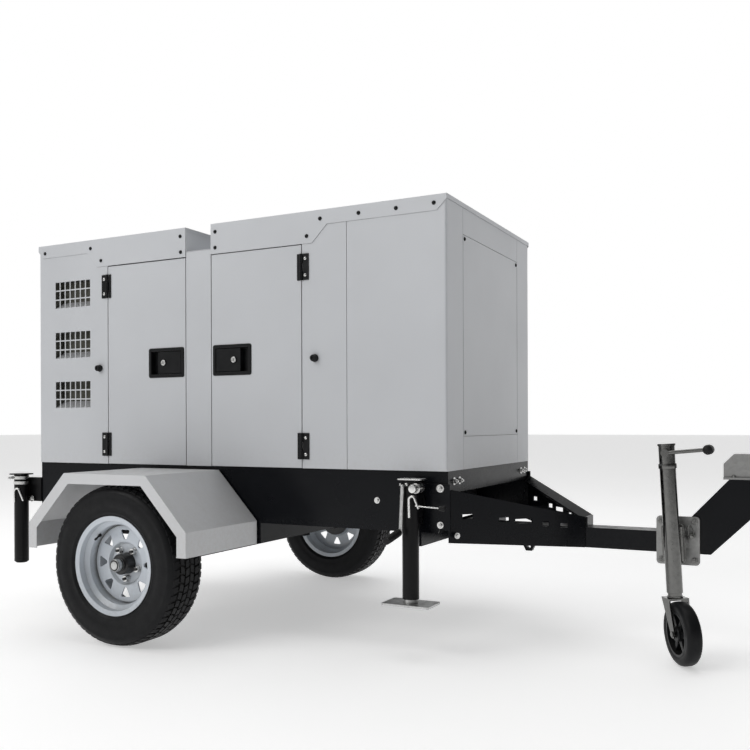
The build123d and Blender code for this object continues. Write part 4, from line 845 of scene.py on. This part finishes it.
def front_jack_fittings():
    """The plated top plate, clamp bolt, hairpin and locking rod of a front corner jack."""
    s = Shape()
    x, y = JACK_X, JACK_Y
    s.block(x - 36, x + 54, y - 36, y + 30, 658, 663, 1.4)
    s.rod((x + 30, y - 20, 628), (x + 30, y - 54, 628), 15, bevel=2.5)
    s.rod((x + 30, y + 20, 628), (x + 30, y - 24, 628), 19, bevel=1.2)
    s.dome((x - 2, y - 31, 642), (0, -1, 0), 6.5, 4.0)
    s.dome((x - 33, y - 18, 640), (-0.6, -1, 0), 5.5, 3.5)
    s.wire([(x + 10, y - 35, 522), (x + 10, y - 38, 596), (x + 30, y - 39, 602), (x + 46, y - 32, 556)],
           4.8, corner=20)
    s.wire([(x + 34, y - 34, 566), (x + 90, y - 30, 562), (x + 128, y - 26, 560)], 2.6, corner=6)
    return s


def front_jack_knob():
    """The dark end knob of the locking rod."""
    s = Shape()
    s.rod((JACK_X + 124, JACK_Y - 26, 560), (JACK_X + 146, JACK_Y - 24, 559), 9.0, 10.5, bevel=2.0)
    return s


def rear_prop_fittings():
    """The plated clamp bands, hairpin and bolts of a rear prop stand."""
    s = Shape()
    x, y = PROP_X, PROP_Y
    for z in (612, 588):
        s.spin([(33.2, -7), (35.8, -7), (35.8, 7), (33.2, 7)], (x, y, z), axis=(0, 0, 1), sides=48)
    s.rod((x - 20, y - 24, 612), (x - 30, y - 52, 612), 7, bevel=1.0)
    s.wire([(x - 6, y - 36, 496), (x - 4, y - 41, 556), (x + 24, y - 41, 566), (x + 38, y - 24, 504)], 4.6,
           corner=20)
    s.nut((x + 52, y + 16, 512), (0, -1, 0), 15.0, 7.0)
    return s


both_sides("front_jack_fittings_{side}", front_jack_fittings, BRIGHT, "jack_swing_{side}",
           jack=True)
both_sides("front_jack_knob_{side}", front_jack_knob, RUBBER, "jack_swing_{side}",
           jack=True)
both_sides("rear_prop_fittings_{side}", rear_prop_fittings, BRIGHT, "trailer")


def crank_grip():
    """The black sleeve on a jack crank's handle, over the plated rod."""
    s = Shape()
    start = Vector((CRANK_X - 9, JACK_Y - JACK_R - 22, CRANK_Z - 167.6))
    end = Vector((CRANK_X - 14, JACK_Y - JACK_R - 115, CRANK_Z - 188))
    along = (end - start).normalized()
    s.rod(start - along * 0.2, start + along * 6, 13.4, 14.2)
    s.rod(start + along * 6, end + along * 0.3, 13.5, 13.5, bevel=1.5)
    for k in range(7):
        at = start + along * (14 + 11 * k)
        s.rod(at, at + along * 4, 14.1, 14.1)
    return s


both_sides("crank_grip_{side}", crank_grip, RUBBER, "jack_crank_{side}", jack=True)


JOCKEY_PIVOT_X, JOCKEY_PIVOT_Z, JOCKEY_Y = 1968.0, 423.0, -170.0
JOCKEY_LEAN, JOCKEY_TURN = math.radians(3.0), math.radians(58.0)
JOCKEY_DROP = 1.2533
JOCKEY_TRAIL, JOCKEY_AXLE_DROP = 45.0, 310.0


def jockey_placed(s, turned):
    """Turns a castor piece about the tube's axis, then leans it with the jockey tube."""
    for v in s.bm.verts:
        x, y, z = v.co
        if turned:
            dx, dy = x - JOCKEY_PIVOT_X, y - JOCKEY_Y
            c, n = math.cos(-JOCKEY_TURN), math.sin(-JOCKEY_TURN)
            x, y = JOCKEY_PIVOT_X + dx * c - dy * n, JOCKEY_Y + dx * n + dy * c
        dx, dz = x - JOCKEY_PIVOT_X, z - JOCKEY_PIVOT_Z
        c, n = math.cos(-JOCKEY_LEAN), math.sin(-JOCKEY_LEAN)
        v.co = (JOCKEY_PIVOT_X + dx * c + dz * n, y, JOCKEY_PIVOT_Z - dx * n + dz * c)
    return s


def jockey_tyre():
    """The solid rubber tyre of the jockey wheel."""
    s = Shape()
    at = (JOCKEY_PIVOT_X + JOCKEY_TRAIL, JOCKEY_Y, JOCKEY_PIVOT_Z - JOCKEY_AXLE_DROP - JOCKEY_DROP)
    s.spin([(80, -25), (84, -26.5), (96, -27.5), (104, -25), (110, -19), (112.4, -12), (112.9, -6),
            (112.9, 6),
            (112.4, 12), (110, 19), (104, 25), (96, 27.5), (84, 26.5), (80, 25), (80, 0)], at, sides=88)
    return jockey_placed(s, True)


def jockey_hub():
    """The moulded centre of the jockey wheel: a rim, six spokes and a boss."""
    s = Shape()
    x, z = JOCKEY_PIVOT_X + JOCKEY_TRAIL, JOCKEY_PIVOT_Z - JOCKEY_AXLE_DROP - JOCKEY_DROP
    at = (x, JOCKEY_Y, z)
    s.spin([(72, -26), (80.3, -26), (80.3, 26), (72, 26), (71, 4), (71, -4)], at, sides=72)
    s.spin([(10.4, -27), (24, -27), (27, -24), (27, 24), (24, 27), (10.4, 27)], at, sides=48)
    for k in range(6):
        turn = math.radians(30 + 60 * k)
        way = Vector((math.sin(turn), 0, math.cos(turn)))
        side = Vector((way.z, 0, -way.x)) * 7
        a, b = Vector(at) + way * 24, Vector(at) + way * 73
        back = Vector((0, 16, 0))
        s.extrude([a - side * 1.5 + back, b - side + back, b + side + back, a + side * 1.5 + back],
                  (0, -32, 0), 1.5)
    return jockey_placed(s, True)


def jockey_knob():
    """The dark knob over the crank's handle."""
    s = Shape()
    x, z = JOCKEY_PIVOT_X + 150, JOCKEY_PIVOT_Z + 339
    s.spin([(0.5, -29), (10, -31), (15, -35), (17.5, -44), (17.5, -88), (15.5, -97), (11, -101),
            (0.5, -103)],
           (x, JOCKEY_Y, z), sides=48)
    return jockey_placed(s, False)


def jockey_bracket_nuts():
    """The four clamp nuts, and the sprung plunger that locks the swivel."""
    s = Shape()
    for x in (1914, 2032):
        for z in (353, 497):
                s.nut((x, BRACKET_FACE, z), (0, -1, 0), 17.0, 11.0, washer=False, stud=3.0)
    s.rod((2026, BRACKET_FACE, 446), (2026, -96, 446), 10, bevel=1.5)
    s.rod((2026, -94, 446), (2026, -103, 446), 6.5, bevel=1.0)
    s.wire([(2016, -99, 450), (2012, -100, 482), (2022, -100, 488), (2032, -99, 468), (2034, -99, 450)],
           2.4, corner=8)
    return s


def jockey_collar():
    """The clamp ring below the cap of the jockey tube."""
    s = Shape()
    at = (JOCKEY_PIVOT_X, JOCKEY_Y, JOCKEY_PIVOT_Z + 284)
    s.spin([(28.3, -9), (31.5, -9), (32.2, -6), (32.2, 6), (31.5, 9), (28.3, 9)], at, axis=(0, 0, 1),
           sides=64)
    return jockey_placed(s, False)


make("jockey_tyre", jockey_tyre(), TYRE, "jockey_wheel", stands_for=("jockey_wheel",))
make("jockey_hub", jockey_hub(), PLASTIC, "jockey_wheel")
make("jockey_knob", jockey_knob(), RUBBER, "jockey_crank")
make("jockey_collar", jockey_collar(), GALV, "jockey_swing")
make("jockey_bracket_nuts", jockey_bracket_nuts(), GALV, "trailer")


# ---- the control window at the back -------------------------------------------------------------
def control_pane():
    """The tinted window of the rear flap, held in a thin rubber seal."""
    s = Shape()
    s.block(CANOPY_REAR - 0.8, CANOPY_REAR + 4.8, -WINDOW_HALF, WINDOW_HALF, WINDOW_LOW, WINDOW_HIGH, 0.5)
    return s


def control_seal():
    """The rubber seal round the window, as four strips."""
    s = Shape()
    x0, x1 = CANOPY_REAR - 1.4, CANOPY_REAR + 5.4
    outer = WINDOW_HALF + 4
    for z in (WINDOW_LOW, WINDOW_HIGH):
        s.block(x0, x1, -outer, outer, z - 3, z + 3, 0.8)
    for y in (-outer, outer - 6):
        s.block(x0, x1, y, y + 6, WINDOW_LOW + 1, WINDOW_HIGH - 1, 0.8)
    return s


make("control_door_pane", control_pane(), TINTED, "control_door")
make("control_door_seal", control_seal(), RUBBER, "control_door")


# ---- floor, light and camera ----------------------------------------------------------------
def floor():
    """The pale studio floor."""
    g = Graph("pale_floor")
    shade = g.blend(g.ramp(g.noise(0.7, 3.0), 0.3, 0.7), (0.86, 0.86, 0.86), (0.89, 0.89, 0.89))
    g.set(Base_Color=shade, Roughness=0.75, Normal=g.bump(g.noise(60.0), 0.03, 0.001))
    g.shader.inputs["Emission Color"].default_value = (1.0, 1.0, 1.0, 1.0)
    g.shader.inputs["Emission Strength"].default_value = 0.42
    mesh = bpy.data.meshes.new("floor")
    reach = 60.0
    mesh.from_pydata([(-reach, -reach, -0.0005), (reach, -reach, -0.0005), (reach, reach, -0.0005),
                      (-reach, reach, -0.0005)],
                     [], [(0, 1, 2, 3)])
    mesh.materials.append(g.material)
    piece = bpy.data.objects.new("floor", mesh)
    bpy.context.scene.collection.objects.link(piece)


def lamp(name, at, toward, size, power, colour=(1, 1, 1)):
    """A rectangular studio light."""
    data = bpy.data.lights.new(name, "AREA")
    data.shape = "RECTANGLE"
    data.size, data.size_y = size
    data.energy = power
    data.color = colour
    piece = bpy.data.objects.new(name, data)
    piece.location = at
    piece.rotation_euler = (Vector(toward) - Vector(at)).to_track_quat("-Z", "Y").to_euler()
    bpy.context.scene.collection.objects.link(piece)


def sky():
    """A white backdrop behind the trailer, a soft grey room in front of it and a dark one ahead of it."""
    world = bpy.data.worlds.new("studio")
    world.use_nodes = True
    tree = world.node_tree
    background = tree.nodes["Background"]
    coord = tree.nodes.new("ShaderNodeTexCoord")

    def fade(direction, start, end, low, high):
        along = tree.nodes.new("ShaderNodeVectorMath")
        along.operation = "DOT_PRODUCT"
        along.inputs[1].default_value = direction
        tree.links.new(coord.outputs["Generated"], along.inputs[0])
        ramp = tree.nodes.new("ShaderNodeMapRange")
        ramp.interpolation_type = "SMOOTHSTEP"
        for key, value in (("From Min", start), ("From Max", end), ("To Min", low), ("To Max", high)):
            ramp.inputs[key].default_value = value
        tree.links.new(along.outputs["Value"], ramp.inputs["Value"])
        return ramp

    backdrop = fade((-0.4555, 0.8902, 0.0), 0.35, 0.80, 0.0, 1.0)
    room = fade((1.0, 0.0, 0.0), -0.35, 0.45, 0.34, 0.09)
    tree.links.new(room.outputs["Result"], backdrop.inputs["To Min"])
    tree.links.new(backdrop.outputs["Result"], background.inputs["Color"])
    background.inputs["Strength"].default_value = 1.0
    bpy.context.scene.world = world


floor()
sky()
lamp("key", (-4.5, -7.5, 6.5), (-0.8, 0, 0.8), (6, 4), 265, (1.0, 0.99, 0.975))
lamp("top", (-0.5, 0.5, 7.0), (-0.5, 0, 0), (7, 6), 150)

camera_data = bpy.data.cameras.new("camera")
camera_data.sensor_width = 36.0
camera_data.lens = 41.86
camera_data.shift_y = 0.0648
camera_data.clip_end = 200.0
camera = bpy.data.objects.new("camera", camera_data)
camera.location = place(2449.6, -3465.6, 864.0)
camera.rotation_euler = (math.radians(90), math.radians(0.2), math.radians(27.1))
bpy.context.scene.collection.objects.link(camera)
bpy.context.scene.camera = camera
bpy.context.scene.view_settings.view_transform = "Standard"
bpy.context.scene.view_settings.look = "None"
